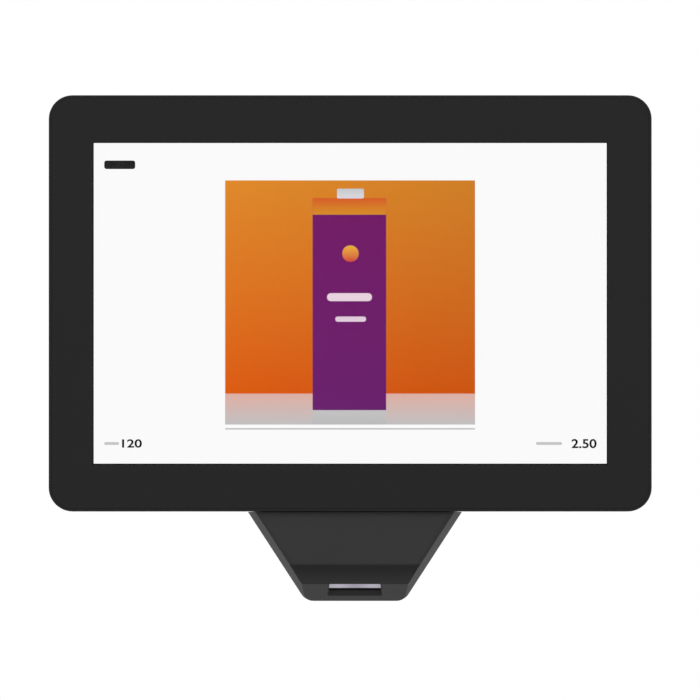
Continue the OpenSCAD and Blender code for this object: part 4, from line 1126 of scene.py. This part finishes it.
def networkSocket():
    low, high = nodeBox("network_socket")
    x = between(low.x, high.x)
    width, thickness, depth = network["mouth"]
    front = low.y + network["mouthIn"]
    mouth = moved(opening(width, thickness, 0.2, depth), at(x, front + thickness / 2, low.z))
    latchWidth, latchDepth = network["latch"]
    latch = block((x - latchWidth / 2, front + thickness - 0.5, low.z - 1),
                  (x + latchWidth / 2, front + thickness + latchDepth, low.z + depth))
    piece("networkSocket", cut(block(low, high, 0.3), mouth, latch), [finishes["steel"]],
          ["network_socket"])
    start, half = front - frontY, network["pinWidth"] / 2
    profile = [(start + back, low.z + rise) for back, rise in network["pin"]]
    pins = [prism(profile, x + across - half, x + across + half)
            for across in spread(network["pins"], network["pinPitch"])]
    piece("networkContacts", joined(pins), [finishes["gold"]])
    for side, name in ((-1, "greenLamp"), (1, "amberLamp")):
        middle, top = x + side * 5.0, front + thickness
        lamp = block((middle - 1.3, top + 0.5, low.z - 0.02), (middle + 1.3, top + 2.3, low.z + 1), 0.15)
        piece("network" + name[0].upper() + name[1:], lamp, [finishes[name]])


powerJack = {"bore": 3.1, "depth": 10.0, "flare": 0.4, "pinAt": 1.2,
             "pin": [(0, 0), (0.7, 0.12), (0.97, 0.5), (0.97, 9.2), (0, 9.2)]}


def powerSocket():
    low, high = nodeBox("power_socket")
    x, y = between(low.x, high.x), between(low.y, high.y)
    bore = roundOpening(powerJack["bore"], powerJack["depth"], powerJack["flare"])
    moved(bore, at(x, y, low.z))
    piece("powerSocket", cut(block(low, high, 0.3), bore), [finishes["blackResin"]],
          ["power_socket"])
    pin = moved(lathe(powerJack["pin"], 24), at(x, y, low.z + powerJack["pinAt"]))
    piece("powerPin", pin, [finishes["steel"]])


usb = {"wall": 0.4, "radius": 0.7, "depth": 12.0, "tongue": (11.0, 1.9, 9.0), "contact": (1.0, 0.08, 7.0),
       "contacts": 4, "contactPitch": 2.3}


def usbSockets():
    low, high = nodeBox("usb_sockets")
    thickness = high.y - low.y
    shells, tongues, contacts = [], [], []
    for x, width, _ in rear["ports"][2:]:
        middle = at(x, between(low.y, high.y), low.z)
        shell = moved(raised(outline(width, thickness, usb["radius"]), high.z - low.z), middle)
        inner = moved(opening(width - 2 * usb["wall"], thickness - 2 * usb["wall"],
                              usb["radius"] - usb["wall"] + 0.05, usb["depth"], 0.2), middle)
        shells.append(cut(shell, inner))
        wide, thick, long = usb["tongue"]
        front, top = low.y + usb["wall"] + 0.4, high.z - 2
        tongues.append(block((x - wide / 2, front, top - long),
                             (x + wide / 2, front + thick, top + 0.2), 0.2))
        wide, thin, long = usb["contact"]
        for across in spread(usb["contacts"], usb["contactPitch"]):
            contacts.append(block((x + across - wide / 2, front + thick - 0.02, top - long - 1),
                                  (x + across + wide / 2, front + thick + thin, top - 0.2), 0.03, 1))
    piece("usbSockets", joined(shells), [finishes["steel"]], ["usb_sockets"])
    piece("usbTongues", joined(tongues), [finishes["blackResin"]])
    piece("usbContacts", joined(contacts), [finishes["gold"]])


networkSocket()
powerSocket()
usbSockets()
print("sockets made")

# Studio, in metres: an even pale world, soft lamps and a floor below the part
studio = {
    "floorDrop": 0.22, "floorRadius": 1.85, "floorTone": 0.5, "ambient": 0.55,
    "lamps": [("keyLamp", (-1.3, -1.9, 1.3), 1.5, 16.0), ("fillLamp", (1.5, -1.6, 0.5), 1.6, 6.0),
              ("backLamp", (0.2, 1.9, 1.2), 1.6, 12.0)],
}


def seenDirectly(paint):
    rays = paint.node("ShaderNodeLightPath")
    return (rays["Is Camera Ray"] + rays["Is Glossy Ray"] + rays["Is Transmission Ray"]).clamped()


def makeWorld():
    world = bpy.data.worlds.new("studio")
    bpy.context.scene.world = world
    paint = Paint(world)
    soft = paint.node("ShaderNodeBackground", None, {"Color": (1, 1, 1, 1), "Strength": studio["ambient"]})
    white = paint.node("ShaderNodeBackground", None, {"Color": (1, 1, 1, 1), "Strength": 1.0})
    sockets = {0: seenDirectly(paint), 1: soft["Background"], 2: white["Background"]}
    mixed = paint.node("ShaderNodeMixShader", None, sockets)
    paint.node("ShaderNodeOutputWorld", None, {"Surface": mixed["Shader"]})


def makeLamp(name, place, size, power):
    data = bpy.data.lights.new(name, "AREA")
    data.shape = "DISK"
    data.size = size
    data.energy = power
    lamp = bpy.data.objects.new(name, data)
    lamp.location = place
    lamp.rotation_euler = (Vector((0, 0, -0.02)) - Vector(place)).to_track_quat("-Z", "Y").to_euler()
    lamp.visible_camera = False
    lamp.visible_glossy = False
    bpy.context.scene.collection.objects.link(lamp)


def makeFloor():
    # white to the eye, so that only the part's shadow shows; from below it can be looked through
    height = chinLow.z * millimetre - studio["floorDrop"]
    floor = asObject(moved(disc(studio["floorRadius"], 96), at(0, 0, height)), "floor")
    paint = paintFor("paleFloor")
    tone = (studio["floorTone"],) * 3 + (1,)
    shade = paint.blend(paint.noise(3, 2), tone, shaded(tone, 1.04))
    matt = paint.node("ShaderNodeBsdfDiffuse", None, {"Color": shade})["BSDF"]
    glow = paint.node("ShaderNodeEmission", None, {"Color": (1, 1, 1, 1), "Strength": 1.0})["Emission"]
    clear = paint.node("ShaderNodeBsdfTransparent")["BSDF"]
    behind = paint.node("ShaderNodeNewGeometry")["Backfacing"]
    lit = paint.node("ShaderNodeMixShader", None, {0: seenDirectly(paint) * 0.8, 1: matt, 2: glow})["Shader"]
    unseen =behind * seenDirectly(paint)
    whole = paint.node("ShaderNodeMixShader", None, {0: unseen, 1: lit, 2: clear})["Shader"]
    paint.node("ShaderNodeOutputMaterial", None, {"Surface": whole})
    floor.data.materials.append(paint.owner)


makeWorld()
for name, place, size, power in studio["lamps"]:
    makeLamp(name, place, size, power)
makeFloor()
bpy.context.scene.view_settings.view_transform = "Standard"
print("studio made")
